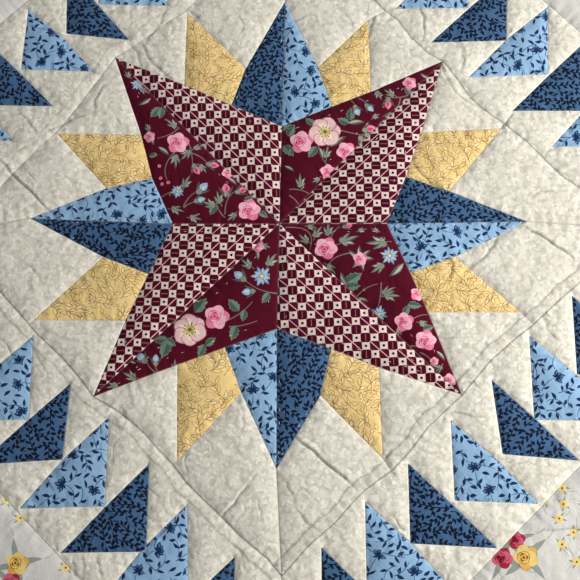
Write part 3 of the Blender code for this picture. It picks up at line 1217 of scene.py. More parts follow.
    @staticmethod
    def spray(at: Point, to: Point) -> list[Motif]:
        """Draws a fan of narrow pointed grey leaflets from its stalk to its tip.

        Args:
            at: Its foot.
            to: Its tip.

        Returns:
            The motifs, the topmost last.
        """
        length = math.dist(at, to)
        turn = math.atan2(to[1] - at[1], to[0] - at[0])
        shapes = [Motif(Draw.stem(Draw.arc(at, turn, length * 0.55, 0.1, 4), 0.55), INK.stalk)]
        leaflets = ((1.00, 0.22, 0.28), (-0.95, 0.26, 0.26), (0.52, 0.24, 0.56), (-0.50, 0.28, 0.50),
                    (0.02, 0.26, 0.74))
        for number, (swing, start, size) in enumerate(leaflets):
            base = Draw.off(at, turn, start * length)
            leaflet = Draw.leaf(size * length, 0.17 * length, 0.03 * length, 3)
            shapes.append(Draw.put(leaflet, base, turn + swing, INK.grey_dark))
            bright = Draw.leaf(size * length * 0.90, 0.11 * length, 0.03 * length, 2)
            ink = INK.grey_light if number % 2 else INK.grey_mid
            shapes.append(Draw.put(bright, base, turn + swing + 0.06, ink))
        return shapes

    @staticmethod
    def slim_leaf(at: Point, to: Point) -> list[Motif]:
        """Draws a narrow grey leaf from its stalk to its tip.

        Args:
            at: Its foot.
            to: Its tip.

        Returns:
            The motifs, the topmost last.
        """
        length = math.dist(at, to)
        turn = math.atan2(to[1] - at[1], to[0] - at[0])
        whole = Draw.leaf(length, 0.34 * length, 0.05 * length, 4)
        bright = Draw.leaf(length * 0.86, 0.16 * length, 0.05 * length, 3)
        return [Draw.put(whole, at, turn, INK.grey_dark), Draw.put(bright, at, turn + 0.08, INK.grey_light)]

    @staticmethod
    def bud(at: Point, to: Point, petal: Ink, shade: Ink) -> list[Motif]:
        """Draws a bud in its calyx, from its stalk to its tip.

        Args:
            at: Its foot.
            to: Its tip.
            petal: The petals' ink.
            shade: The ink of their fold.

        Returns:
            The motifs, the topmost last.
        """
        length = math.dist(at, to)
        turn = math.atan2(to[1] - at[1], to[0] - at[0])
        middle = (at[0] + 0.35 * (to[0] - at[0]), at[1] + 0.35 * (to[1] - at[1]))
        shapes = []
        for swing in (-0.55, 0.55):
            shapes.append(Draw.put(Draw.leaf(length, 0.20 * length, 0.0, 2), at, turn + swing, INK.grey_dark))
        shapes.append(Draw.put(Draw.leaf(length * 0.75, 0.56 * length, 0.0, 4), middle, turn, petal))
        shapes.append(Draw.put(Draw.leaf(length * 0.60, 0.20 * length, 0.0, 3), middle, turn - 0.15, shade))
        shapes.append(Draw.put(Draw.leaf(length * 0.55, 0.40 * length, 0.0, 3), at, turn, INK.grey_mid))
        return shapes

    @staticmethod
    def stalk(path: tuple[Point, ...]) -> list[Motif]:
        """Draws a stalk along two or three points.

        Args:
            path: Points along it.

        Returns:
            The one motif.
        """
        points = np.array(path)
        if len(points) == 2:
            run = points[1] - points[0]
            middle = points.mean(axis=0) + 0.10 * leftward(run)
            points = np.array((points[0], middle, points[1]))
        curve = bowed(*points, np.linspace(0.0, 1.0, 8)[:, None])
        return [Motif(Draw.stem(curve, 0.75), INK.stalk)]


@dataclass(frozen=True)
class Bloom:
    """A main flower, at a listed place."""

    kind: str
    at: Point
    radius: float
    turn: float


@dataclass(frozen=True)
class Green:
    """A leaf, spray, bud or stalk of the rose print, at listed places."""

    kind: str
    path: tuple[Point, ...]


BUD_INKS = {"blue": (INK.aster, INK.aster_light), "bud": (INK.rose_mid, INK.rose_deep)}
ROSE_INKS = {
    "rose": (INK.rose_pale, INK.rose_mid, INK.rose_deep),
    "small": (INK.rose_pale, INK.rose_mid, INK.rose_deep),
    "crimson": (INK.crimson_light, INK.crimson, INK.burgundy),
    "amber": (INK.amber_pale, INK.amber, INK.amber_shade),
}

BURGUNDY_BLOOMS = (
    Bloom("rose", (-65.0, 53.0), 7.0, 0.2),
    Bloom("small", (-83.0, 57.0), 3.6, 0.6),
    Bloom("small", (-33.0, 33.0), 3.6, 1.0),
    Bloom("rose", (-19.0, 8.0), 7.0, 1.4),
    Bloom("aster", (-92.0, 94.0), 4.6, 0.0),
    Bloom("aster", (-64.0, 20.0), 4.6, 0.5),
    Bloom("rose", (13.5, 54.0), 7.4, 0.3),
    Bloom("open", (28.5, 61.0), 10.2, 0.1),
    Bloom("rose", (42.0, 48.0), 6.2, 0.9),
    Bloom("small", (30.5, 34.0), 5.0, 0.4),
    Bloom("small", (83.0, 96.0), 4.4, 0.7),
    Bloom("open", (-54.0, -70.0), 10.2, 0.6),
    Bloom("rose", (-38.0, -62.0), 7.6, 0.1),
    Bloom("aster", (-10.5, -35.5), 6.6, 0.3),
    Bloom("small", (-13.5, -15.5), 4.2, 0.9),
    Bloom("rose", (29.0, -17.0), 7.0, 1.1),
    Bloom("small", (50.0, -24.0), 4.4, 0.3),
    Bloom("aster", (68.5, -21.5), 6.0, 0.0),
    Bloom("aster", (61.5, -59.0), 5.4, 0.8),
    Bloom("rose", (76.5, -64.0), 5.8, 0.4),
    Bloom("rose", (89.5, -75.5), 6.4, 1.3),
    Bloom("small", (85.0, -46.0), 4.2, 0.0),
    Bloom("small", (94.5, -88.5), 2.6, 0.4),
    Bloom("small", (103.5, -100.0), 4.0, 0.5),
)

BURGUNDY_GREENS = tuple(Green(kind, tuple(path)) for kind, *path in (
    ("leaf", (-77, 78), (-84, 69)), ("leaf", (-76, 78), (-77, 68)), ("stalk", (-65, 63), (-78, 56)),
    ("spray", (-64, 63), (-73, 70)), ("stalk", (-59, 56), (-56, 46), (-55, 36)),
    ("spray", (-56, 48), (-48, 52)), ("spray", (-56, 50), (-63, 41)), ("stalk", (-56, 46), (-45, 38)),
    ("bud", (-55, 39), (-51, 32)), ("bud", (-47, 39), (-39, 38)), ("spray", (-52, 39), (-46, 32)),
    ("stalk", (-67, 46), (-72, 37), (-71, 28)), ("berry", (-76, 37)), ("berry", (-75, 29)),
    ("berry", (-74, 25)), ("berry", (-70, 26)), ("spray", (-67, 47), (-66, 35)),
    ("leaf", (-83, 44), (-76, 45)), ("slim", (-77, 50), (-70, 44)), ("spray", (-61, 20), (-56, 31)),
    ("stalk", (-60, 10), (-50, 21)), ("blue", (-52, 18), (-46, 25)), ("stalk", (-60, 9), (-52, 13)),
    ("blue", (-54, 13), (-47, 15)), ("stalk", (-76, 15), (-65, 20)), ("leaf", (-40, 12), (-44, 3)),
    ("spray", (-38, 10), (-49, 14)), ("spray", (-36, 10), (-39, 21)), ("stalk", (-34, 3), (-40, 15)),
    ("stalk", (-34, 5), (-32, 16), (-25, 22)), ("bud", (-33, 16), (-34, 25)), ("bud", (-28, 19), (-21, 23)),
    ("spray", (-70, 9), (-59, 6)), ("spray", (-58, 3), (-48, 1)), ("slim", (-83, 84), (-91, 79)),
    ("spray", (-92, 92), (-84, 87)), ("spray", (-96, 98), (-101, 104)), ("slim", (-83, 57), (-80, 51)),
    ("spray", (-82, 60), (-86, 67)), ("leaf", (-22, 14), (-15, 18)), ("leaf", (-13, 7), (-6, 3)),
    ("spray", (-26, 7), (-33, 1)), ("stalk", (-24, 30), (-14, 20)), ("slim", (-30, 34), (-23, 30)),
    ("slim", (-33, 30), (-27, 25)), ("leaf", (5, 58), (10, 68)), ("leaf", (2, 52), (10, 43)),
    ("leaf", (23, 51), (17, 42)), ("leaf", (22, 66), (15, 72)), ("spray", (29, 41), (31, 52)),
    ("slim", (32, 51), (42, 58)), ("slim", (25, 50), (27, 42)), ("leaf", (44, 67), (35, 71)),
    ("leaf", (45, 69), (45, 80)), ("slim", (43, 67), (54, 68)), ("stalk", (34, 63), (48, 60), (57, 59)),
    ("bud", (52, 62), (60, 65)), ("bud", (50, 59), (55, 52)), ("spray", (52, 60), (60, 58)),
    ("stalk", (24, 53), (28, 41), (36, 36)), ("spray", (14, 21), (13, 33)), ("stalk", (6, 22), (21, 18)),
    ("stalk", (6, 18), (13, 10)), ("stalk", (45, 84), (48, 77)), ("blue", (47, 80), (50, 73)),
    ("stalk", (50, 85), (57, 78)), ("blue", (54, 81), (59, 76)), ("spray", (60, 92), (65, 83)),
    ("stalk", (84, 89), (67, 86)), ("bud", (69, 86), (69, 78)), ("stalk", (77, 86), (70, 73)),
    ("bud", (72, 76), (68, 69)), ("spray", (75, 86), (66, 92)), ("leaf", (84, 88), (79, 94)),
    ("slim", (88, 96), (94, 93)), ("spray", (26, 31), (20, 27)), ("slim", (3, 38), (9, 34)),
    ("leaf", (2, 62), (3, 70)), ("spray", (40, 36), (46, 42)), ("spray", (58, 70), (64, 74)),
    ("slim", (96, 100), (90, 103)), ("spray", (-15, -31), (-24, -23)), ("spray", (-8, -31), (-1, -20)),
    ("stalk", (-1, -46), (-12, -44), (-22, -37)), ("blue", (-20, -39), (-27, -33)),
    ("blue", (-14, -45), (-22, -46)), ("leaf", (-6, -46), (-11, -54)), ("leaf", (-51, -59), (-43, -48)),
    ("leaf", (-24, -58), (-32, -49)), ("stalk", (-31, -64), (-23, -59), (-16, -52)),
    ("leaf", (-21, -57), (-22, -66)), ("stalk", (-30, -68), (-22, -67), (-13, -64)),
    ("leaf", (-26, -67), (-29, -78)), ("leaf", (-44, -80), (-37, -74)), ("leaf", (-45, -79), (-49, -88)),
    ("stalk", (-61, -72), (-70, -76)), ("leaf", (-67, -76), (-78, -76)), ("leaf", (-67, -76), (-71, -90)),
    ("leaf", (-68, -76), (-61, -81)), ("stalk", (-73, -97), (-80, -89)), ("blue", (-79, -91), (-85, -85)),
    ("stalk", (-72, -97), (-74, -91)), ("blue", (-74, -93), (-74, -86)), ("spray", (-83, -101), (-94, -96)),
    ("spray", (-95, -103), (-104, -106)), ("spray", (-62, -97), (-62, -88)),
    ("spray", (-13, -15), (-5, -17)), ("spray", (-15, -14), (-20, -7)), ("slim", (-14, -18), (-13, -25)),
    ("slim", (-48, -52), (-53, -49)), ("spray", (-61, -66), (-67, -62)), ("spray", (-33, -32), (-27, -27)),
    ("stalk", (-36, -34), (-28, -28)), ("slim", (-86, -91), (-91, -88)),
    ("stalk", (4, -3), (18, -6), (19, -18)), ("spray", (20, -14), (12, -7)), ("spray", (21, -12), (27, -2)),
    ("spray", (31, -11), (31, 1)), ("stalk", (32, -11), (38, -2)), ("bud", (39, -3), (45, -1)),
    ("spray", (35, -15), (50, -9)), ("stalk", (45, -20), (35, -23), (30, -29)),
    ("spray", (28, -26), (35, -34)), ("slim", (50, -24), (43, -18)), ("slim", (50, -24), (57, -18)),
    ("slim", (50, -24), (45, -30)), ("slim", (50, -24), (59, -24)), ("slim", (50, -24), (50, -15)),
    ("slim", (50, -24), (52, -32)), ("spray", (70, -12), (53, -13)), ("spray", (66, -25), (56, -33)),
    ("slim", (77, -26), (68, -35)), ("leaf", (41, -40), (53, -32)), ("leaf", (41, -42), (52, -41)),
    ("slim", (42, -41), (38, -32)), ("stalk", (47, -49), (61, -40)), ("slim", (47, -49), (55, -51)),
    ("stalk", (63, -39), (62, -50), (60, -56)), ("spray", (62, -48), (72, -42)),
    ("spray", (62, -48), (75, -48)), ("leaf", (79, -53), (89, -54)), ("stalk", (80, -64), (91, -59)),
    ("spray", (84, -64), (93, -67)), ("leaf", (77, -60), (80, -52)), ("stalk", (79, -79), (88, -81)),
    ("slim", (96, -82), (101, -88)), ("spray", (100, -90), (93, -96)), ("leaf", (88, -69), (96, -66)),
    ("spray", (74, -66), (72, -74)), ("spray", (72, -6), (79, -12)), ("spray", (48, -6), (55, -4)),
    ("spray", (16, -2), (24, -4)), ("spray", (63, -6), (57, -3)), ("leaf", (8, 66), (2, 64)),
    ("stalk", (86, -83), (94, -90)), ("slim", (92, -90), (98, -94)),
))

WHITE_BLOOMS = (
    Bloom("crimson", (139.5, -195.5), 5.2, 0.3),
    Bloom("crimson", (131.0, -206.0), 6.0, 1.1),
    Bloom("amber", (144.5, -205.5), 7.2, 0.7),
    Bloom("amber", (-150.0, -211.0), 6.6, 0.2),
    Bloom("crimson", (-153.0, -222.0), 5.6, 0.8),
    Bloom("crimson", (214.0, 196.0), 6.0, 0.8),
    Bloom("amber", (204.0, 208.0), 7.0, 0.3),
    Bloom("amber", (-196.0, 206.0), 7.4, 0.2),
    Bloom("crimson", (-208.0, 196.0), 6.0, 0.5),
    Bloom("crimson", (215.0, -178.0), 6.0, 0.5),
    Bloom("amber", (-214.0, -190.0), 7.0, 0.5),
    Bloom("crimson", (-206.0, -204.0), 6.0, 0.9),
)

WHITE_SPECKS = (
    (168.0, -165.0), (168.0, -174.5), (165.0, -183.0), (173.0, -191.0), (166.0, -198.0), (174.0, -208.0),
    (157.0, -172.5), (181.0, -176.0), (184.0, -199.0), (191.0, -214.0), (-159.0, -174.0), (-150.0, -184.5),
    (-122.0, -213.0), (-171.0, -190.0), (-182.0, -206.0), (-186.0, -180.0), (-137.0, -224.0),
    (-180.0, 160.0), (-172.0, 172.0), (-190.0, 176.0), (-160.0, 190.0), (176.0, 168.0), (190.0, 180.0),
    (168.0, 190.0), (200.0, 160.0), (205.0, -150.0), (225.0, -200.0), (-225.0, -160.0),
)


@dataclass(frozen=True)
class Charted:
    """How the check lies on one star point, as charted."""

    dot: Point
    across: float
    upward: float
    turn_deg: float
    upright: bool


CHECKS = (
    Charted((29.6, 12.7), 5.24, 4.97, 1.0, False),
    Charted((35.9, -53.9), 5.42, 5.22, 2.4, True),
    Charted((-29.6, -21.7), 4.98, 5.24, -1.2, False),
    Charted((-18.7, 51.8), 5.05, 5.45, 2.8, True),
)


@dataclass
class Print:
    """Makes one cloth's motifs for a patch."""

    cloth: Cloth
    seed: int
    vine_passes: tuple[tuple[float, float, int], ...] = (
        (11.0, 20.0, 4), (8.0, 15.0, 3), (6.0, 10.0, 3), (4.4, 7.0, 2), (3.4, 5.2, 1))
    vine_step: float = 1.7
    vine_near: float = 1.45
    vine_leaf_near: float = 2.05
    spray_passes: tuple[float, ...] = (15.0, 11.0, 8.0)
    spray_leaves: tuple[int, ...] = (1, 2, 4, 5, 6, 8)
    gold_passes: tuple[tuple[float, float], ...] = ((9.5, 3.1), (7.0, 2.9))
    check_reach: int = 34
    speck_leaves: tuple[float, ...] = (0.5, -0.6, 2.6, 3.7)

    def motifs(self, patch: Patch) -> list[Motif]:
        """Draws the patch's print.

        Args:
            patch: The patch to cover.

        Returns:
            The motifs that reach the patch, from the lowest to the topmost.
        """
        makers: dict[Cloth, Callable] = {
            Cloth.ROSE: self._roses,
            Cloth.CHECK: self._check,
            Cloth.NAVY: self._vines,
            Cloth.SKY: self._sprays,
            Cloth.GOLD: self._outlined_leaves,
            Cloth.WHITE: self._scattered,
        }
        if self.cloth not in makers:
            return []
        corners = np.array(patch.outline)
        offset = int(abs(corners[:, 0].sum() * 7 + corners[:, 1].sum() * 13)) % 9973
        random = np.random.default_rng(self.seed + offset)
        return makers[self.cloth](patch, random)

    @staticmethod
    def _scatter(patch: Patch, spacing: float, random: np.random.Generator,
                 margin: float) -> list[Point]:
        """Spreads places evenly but loosely over a patch.

        Args:
            patch: The patch to cover.
            spacing: The distance between places.
            random: The seeded generator.
            margin: How far past the patch to go.

        Returns:
            The places.
        """
        low, high = patch.box()
        low, high = low - margin, high + margin
        kept: list[Point] = []
        rows = int((high[1] - low[1]) / (spacing * 0.87)) + 1
        columns = int((high[0] - low[0]) / spacing) + 1
        for row in range(rows + 1):
            for column in range(columns + 1):
                x = low[0] + (column + 0.5 * (row % 2)) * spacing + random.uniform(-0.24, 0.24) * spacing
                y = low[1] + row * spacing * 0.87 + random.uniform(-0.24, 0.24) * spacing
                if inside((x, y), patch.outline, margin):
                    kept.append((x, y))
        return kept

    def _vines(self, patch: Patch, random: np.random.Generator) -> list[Motif]:
        """Draws winding dark vines with slender leaves on both sides, each ending where it meets another.

        Args:
            patch: The patch to cover.
            random: The seeded generator.

        Returns:
            The motifs, the topmost last.
        """
        stems: list[Motif] = []
        leaves: list[Motif] = []
        taken: list[Point] = []
        for spacing, long, least in self.vine_passes:
            for place in self._scatter(patch, spacing, random, 3.0):
                turn = patch.grain + random.uniform(-0.9, 0.9) + (math.pi if random.random() < 0.3 else 0.0)
                count = int(long * random.uniform(0.75, 1.1) / self.vine_step)
                curl = random.uniform(-0.09, 0.09) * long
                path = Draw.arc(place, turn, count * self.vine_step, curl, count)
                headings = Draw.ways(path)
                grown: list[Motif] = []
                own: list[Point] = []
                last = 0
                for number in range(count):
                    at = pair(path[number])
                    if self._close(at, taken, self.vine_near):
                        break
                    last = number
                    hand = -1.0 if number % 2 else 1.0
                    swing = headings[number] + hand * random.uniform(0.55, 0.95)
                    size = random.uniform(3.2, 4.3)
                    tip = Draw.off(at, swing, 0.6 * size)
                    if self._close(tip, taken, self.vine_leaf_near):
                        continue
                    own.append(tip)
                    leaf = Draw.leaf(size, random.uniform(1.55, 2.0), 0.22 * hand, 3)
                    grown.append(Draw.put(leaf, at, swing, INK.navy_leaf))
                if last > 0 and len(own) >= least:
                    stems.append(Motif(Draw.stem(path[:last + 1], 0.74), INK.navy_leaf))
                    leaves.extend(grown)
                    taken.extend(own)
        return stems + leaves

    @staticmethod
    def _close(place: Point, others: list[Point], near: float) -> bool:
        """Tells whether a place lies nearer than a distance to any of the others."""
        return any(abs(place[0] - x) < near and math.dist(place, (x, y)) < near for x, y in others)

    def _sprays(self, patch: Patch, random: np.random.Generator) -> list[Motif]:
        """Draws dark flowers and leaves on thin curving stalks over light blue.

        Args:
            patch: The patch to cover.
            random: The seeded generator.

        Returns:
            The motifs, the topmost last.
        """
        stalks: list[Motif] = []
        shapes: list[Motif] = []
        heads: list[Point] = []
        taken: list[Point] = []
        for spacing in self.spray_passes:
            for place in self._scatter(patch, spacing, random, 6.0):
                path = Draw.arc(place, random.uniform(0.0, math.tau), random.uniform(9.0, 14.0),
                                random.uniform(-1.9, 1.9), 10)
                headings = Draw.ways(path)
                head = pair(path[-1])
                grown = 0
                if not self._close(head, heads, 13.0) and not self._close(head, taken, 5.0):
                    heads.append(head)
                    grown += 2
                    shapes.extend(self._dark_flower(head, headings[-1], random))
                for number in self.spray_leaves:
                    hand = -1.0 if number % 2 else 1.0
                    swing = headings[number] + hand * random.uniform(0.6, 0.95)
                    size = random.uniform(3.8, 5.4)
                    tip = Draw.off(path[number], swing, 0.6 * size)
                    if self._close(tip, taken, 3.6) or self._close(tip, heads, 6.2):
                        continue
                    taken.append(tip)
                    grown += 1
                    leaf = Draw.leaf(size, random.uniform(1.6, 2.2), 0.3 * hand, 4)
                    shapes.append(Draw.put(leaf, pair(path[number]), swing, INK.sky_dark))
                    if random.random() < 0.3:
                        glint = Draw.leaf(2.4, 0.55, 0.1, 2)
                        shapes.append(Draw.put(glint, pair(path[number]), swing + 0.1, INK.sky_mid))
                if grown > 1:
                    stalks.append(Motif(Draw.stem(path, 0.48), INK.sky_stem))
        return stalks + shapes

    @staticmethod
    def _dark_flower(head: Point, turn: float, random: np.random.Generator) -> list[Motif]:
        """Draws one dark flower as a fan of rounded petals with lighter insides, on a small cup.

        Args:
            head: Its foot.
            turn: The way it faces, in radians.
            random: The seeded generator.

        Returns:
            The motifs, the topmost last.
        """
        shapes = []
        for number in range(5):
            angle = turn + (number - 2) * 0.64 + random.uniform(-0.14, 0.14)
            length = random.uniform(4.2, 5.6) * (0.82 if number % 2 else 1.0)
            bend = random.uniform(-0.4, 0.4)
            petal = Draw.leaf(length, random.uniform(2.5, 3.1), bend, 5)
            shapes.append(Draw.put(petal, head, angle, INK.sky_dark))
            start = Draw.off(head, angle, 1.7)
            inner = Draw.leaf(length - 2.3, random.uniform(0.9, 1.4), 0.4 * bend, 3)
            shapes.append(Draw.put(inner, start, angle + random.uniform(-0.15, 0.15), INK.sky_mid))
        for swing in (2.3, -2.3):
            shapes.append(Draw.put(Draw.leaf(3.2, 1.3, 0.2, 3), head, turn + swing, INK.sky_dark))
        return shapes

    def _outlined_leaves(self, patch: Patch, random: np.random.Generator) -> list[Motif]:
        """Draws vines of outlined leaves over gold.

        Args:
            patch: The patch to cover.
            random: The seeded generator.

        Returns:
            The motifs, the topmost last.
        """
        stems: list[Motif] = []
        leaves: list[Motif] = []
        taken: list[Point] = []
        for spacing, near in self.gold_passes:
            for place in self._scatter(patch, spacing, random, 3.0):
                turn = patch.grain + random.uniform(0.0, math.tau)
                path = Draw.arc(place, turn, random.uniform(11.0, 15.0), random.uniform(-1.9, 1.9), 9)
                headings = Draw.ways(path)
                grown = 0
                for number in range(1, 9):
                    hand = (-1.0 if number % 2 else 1.0) if number < 8 else 0.0
                    swing = headings[number] + hand * random.uniform(0.40, 0.80)
                    length = random.uniform(4.4, 6.8)
                    tip = Draw.off(path[number], swing, 0.6 * length)
                    if self._close(tip, taken, near):
                        continue
                    taken.append(tip)
                    grown += 1
                    leaves.extend(self._outlined_leaf(pair(path[number]), swing, length, random))
                if grown > 1:
                    stems.append(Motif(Draw.stem(path, 0.34), INK.gold_line))
        return stems + leaves

    @staticmethod
    def _outlined_leaf(base: Point, swing: float, length: float, random: np.random.Generator) -> list[Motif]:
        """Draws one leaf in outline, with a paler inside and sometimes a vein.

        Args:
            base: Its foot.
            swing: The way it points, in radians.
            length: Its length.
            random: The seeded generator.

        Returns:
            The motifs, the topmost last.
        """
        width = random.uniform(1.9, 2.6)
        bend = random.uniform(-0.5, 0.5)
        shapes = [Draw.put(Draw.leaf(length, width, bend, 5), base, swing, INK.gold_line)]
        start = Draw.off(base, swing, 0.45)
        pale = INK.gold_light if random.random() < 0.65 else INK.gold_ground
        shapes.append(Draw.put(Draw.leaf(length - 0.95, width - 0.66, bend, 5), start, swing, pale))
        if random.random() < 0.4:
            shapes.append(Motif(Draw.stem(Draw.arc(start, swing, length * 0.5, 0.0, 3), 0.26), INK.gold_line))
        return shapes

    def _check(self, patch: Patch, random: np.random.Generator) -> list[Motif]:
        """Draws pale squares with a dot, between dark squares that carry a thin line.

        Args:
            patch: The patch to cover.

        Returns:
            The motifs, the topmost last.
        """
        middle = np.array(patch.outline).mean(axis=0)
        chart = min(CHECKS, key=lambda item: math.dist(pair(middle), item.dot))
        turn = math.radians(chart.turn_deg)
        ahead = np.array((math.cos(turn), math.sin(turn))) * chart.across
        above = np.array((-math.sin(turn), math.cos(turn))) * chart.upward
        hand = -1 if chart.upright else 1
        shapes: list[Motif] = []
        dots: list[Motif] = []
        for row in range(-self.check_reach, self.check_reach + 1):
            for column in range(-self.check_reach, self.check_reach + 1):
                sway = 0.25 * math.sin(row * 0.41) + 0.15 * math.sin(column * 0.7 + row * 0.2)
                at = pair(np.array(chart.dot) + ahead * (column + 0.05 * sway) + above * (row + sway * 0.12))
                if not inside(at, patch.outline, 5.0):
                    continue
                if (row + column) % 2 == 0:
                    square = self._square(ahead, above, 0.505)
                    shapes.append(Motif(square + at, INK.check_pale))
                    dots.append(Draw.put(Draw.disc(0.88, 8), at, 0.3, INK.check_dot))
                elif (column - 4 - 3 * hand * row) % 8 in (1, 7):
                    reach = (ahead * hand + above) * 0.50
                    shapes.append(Motif(self._line(np.array(at) - reach, np.array(at) + reach, 0.50),
                                        INK.check_line))
                else:
                    run, side = (above, ahead) if chart.upright else (ahead, above)
                    for offset in (-0.30, 0.30):
                        start = np.array(at) + side * offset - run * 0.40
                        shapes.append(Motif(self._line(start, start + run * 0.80, 0.95), INK.check_dark))
                    start = np.array(at) - run * 0.40
                    shapes.append(Motif(self._line(start, start + run * 0.80, 0.34), INK.check_soft))
        return shapes + dots

    @staticmethod
    def _square(ahead: np.ndarray, above: np.ndarray, half: float) -> np.ndarray:
        """Returns a square whose sides bow in a little between its corners.

        Args:
            ahead: One square's step along.
            above: One square's step up.
            half: Half of the side, as a share of a step.

        Returns:
            Its outline.
        """
        corners = ((-1.0, -1.0), (-0.72, -0.86), (0.72, -0.86), (1.0, -1.0), (0.86, -0.72), (0.86, 0.72),
                   (1.0, 1.0), (0.72, 0.86), (-0.72, 0.86), (-1.0, 1.0), (-0.86, 0.72), (-0.86, -0.72))
        return np.array([ahead * (x * half) + above * (y * half) for x, y in corners])

    @staticmethod
    def _line(start: np.ndarray, end: np.ndarray, width: float) -> np.ndarray:
        """Returns a straight band between two points.

        Args:
            start: The stretch's start.
            end: The stretch's end.
            width: Its greatest width.

        Returns:
            Its outline.
        """
        run = unit(pair(end - start))
        side = leftward(run) * width / 2
        return np.array((start - side, end - side, end + side, start + side))

    def _roses(self, patch: Patch, random: np.random.Generator) -> list[Motif]:
        """Draws the listed roses, asters, buds and leaves over burgundy.

        Args:
            patch: The patch to cover.
            random: Left unused, since every flower's place is listed.

        Returns:
            The motifs, the topmost last.
        """
        under: list[Motif] = []
        leaves: list[Motif] = []
        over: list[Motif] = []
        for green in BURGUNDY_GREENS:
            if not any(inside(pair(point), patch.outline, 9.0) for point in green.path):
                continue
            (under if green.kind == "stalk" else leaves).extend(self._green(green))
        for bloom in BURGUNDY_BLOOMS:
            if inside(bloom.at, patch.outline, bloom.radius):
                over.extend(self._bloom(bloom))
        return under + leaves + over

    @staticmethod
    def _green(green: Green) -> list[Motif]:
        """Draws one leaf, spray, bud or stalk of the listed table.

        Args:
            green: The table's row.

        Returns:
            The motifs, the topmost last.
        """
        if green.kind == "stalk":
            return Garden.stalk(green.path)
        if green.kind == "berry":
            return [Draw.put(Draw.disc(radius, count), green.path[0], 0.0, ink)
                    for radius, count, ink in ((1.15, 8, INK.rose_mid), (0.5, 6, INK.rose_deep))]
        if green.kind in BUD_INKS:
            return Garden.bud(*green.path, *BUD_INKS[green.kind])
        drawn = {"leaf": Garden.broad_leaf, "spray": Garden.spray, "slim": Garden.slim_leaf}
        return drawn[green.kind](*green.path)

    @staticmethod
    def _bloom(bloom: Bloom) -> list[Motif]:
        """Draws one flower of the listed tables.

        Args:
            bloom: The table's row.

        Returns:
            The motifs, the topmost last.
        """
        if bloom.kind in ROSE_INKS:
            return Garden.rose(bloom.at, bloom.radius, bloom.turn, *ROSE_INKS[bloom.kind])
        drawn = {"open": Garden.open_rose, "aster": Garden.aster}
        return drawn[bloom.kind](bloom.at, bloom.radius, bloom.turn)

    def _scattered(self, patch: Patch, random: np.random.Generator) -> list[Motif]:
        """Draws a few roses, grey leaves and small yellow flowers over white.

        Args:
            patch: The patch to cover.
            random: The seeded generator.

        Returns:
            The motifs, the topmost last.
        """
        under: list[Motif] = []
        over: list[Motif] = []
        for bloom in WHITE_BLOOMS:
            if not inside(bloom.at, patch.outline, bloom.radius * 2.5):
                continue
            for number in range(4):
                turn = bloom.turn + number * 1.57
                tip = Draw.off(bloom.at, turn, 2.4 * bloom.radius)
                leaf = Draw.leaf(bloom.radius * 2.3, bloom.radius * 0.55, 0.4, 4)
                under.append(Draw.put(leaf, bloom.at, turn, INK.grey_leaf))
                path = Draw.arc(tip, turn, 7.0, 0.8, 5)
                under.append(Motif(Draw.stem(path, 0.4), INK.grey_leaf))
            over.extend(self._bloom(bloom))
        for place in WHITE_SPECKS:
            if not inside(place, patch.outline, 3.0):
                continue
            turn = random.uniform(0.0, math.tau)
            under.append(Motif(Draw.stem(Draw.arc(place, turn, 9.0, 0.9, 6), 0.36), INK.grey_leaf))
            for swing in self.speck_leaves:
                under.append(Draw.put(Draw.leaf(5.0, 1.5, 0.2, 3), place, turn + swing, INK.grey_leaf))
            for number in range(5):
                angle = turn + number * math.tau / 5
                petal = Draw.disc(1.25, 8, 0.05, 3)
                centre = Draw.off(place, angle, 1.5)
                over.append(Draw.put(petal, centre, angle, INK.pollen if number % 2 else INK.amber_pale))
            over.append(Draw.put(Draw.disc(0.7, 6), place, turn, INK.amber_shade))
        return under + over


def inside(point: Point, outline: tuple[Point, ...], margin: float = 0.0) -> bool:
    """Tells whether a point lies in an outline or within a margin of it.

    Args:
        point: The point, in millimetres.
        outline: The outline's points, in order.
        margin: How far outside the outline a point may lie.

    Returns:
        Whether the point is in.
    """
    x, y = point
    crossed = False
    nearest = math.inf
    for start, end in edges_of(outline):
        if (start[1] > y) != (end[1] > y):
            if x < start[0] + (y - start[1]) * (end[0] - start[0]) / (end[1] - start[1]):
                crossed = not crossed
        if margin > 0.0:
            run_x, run_y = end[0] - start[0], end[1] - start[1]
            length = run_x * run_x + run_y * run_y
            share = max(0.0, min(1.0, ((x - start[0]) * run_x + (y - start[1]) * run_y) / (length + 1e-9)))
            nearest = min(nearest, math.hypot(x - start[0] - share * run_x, y - start[1] - share * run_y))
    return crossed or nearest < margin


@dataclass
class Cut:
    """One patch cut into triangles: its points, seam distances, slopes and inks."""

    points: np.ndarray
    gaps: np.ndarray
    inward: np.ndarray
    faces: list[tuple[int, ...]]
    inks: list[Ink | None]
    rim: list[tuple[int, int]]


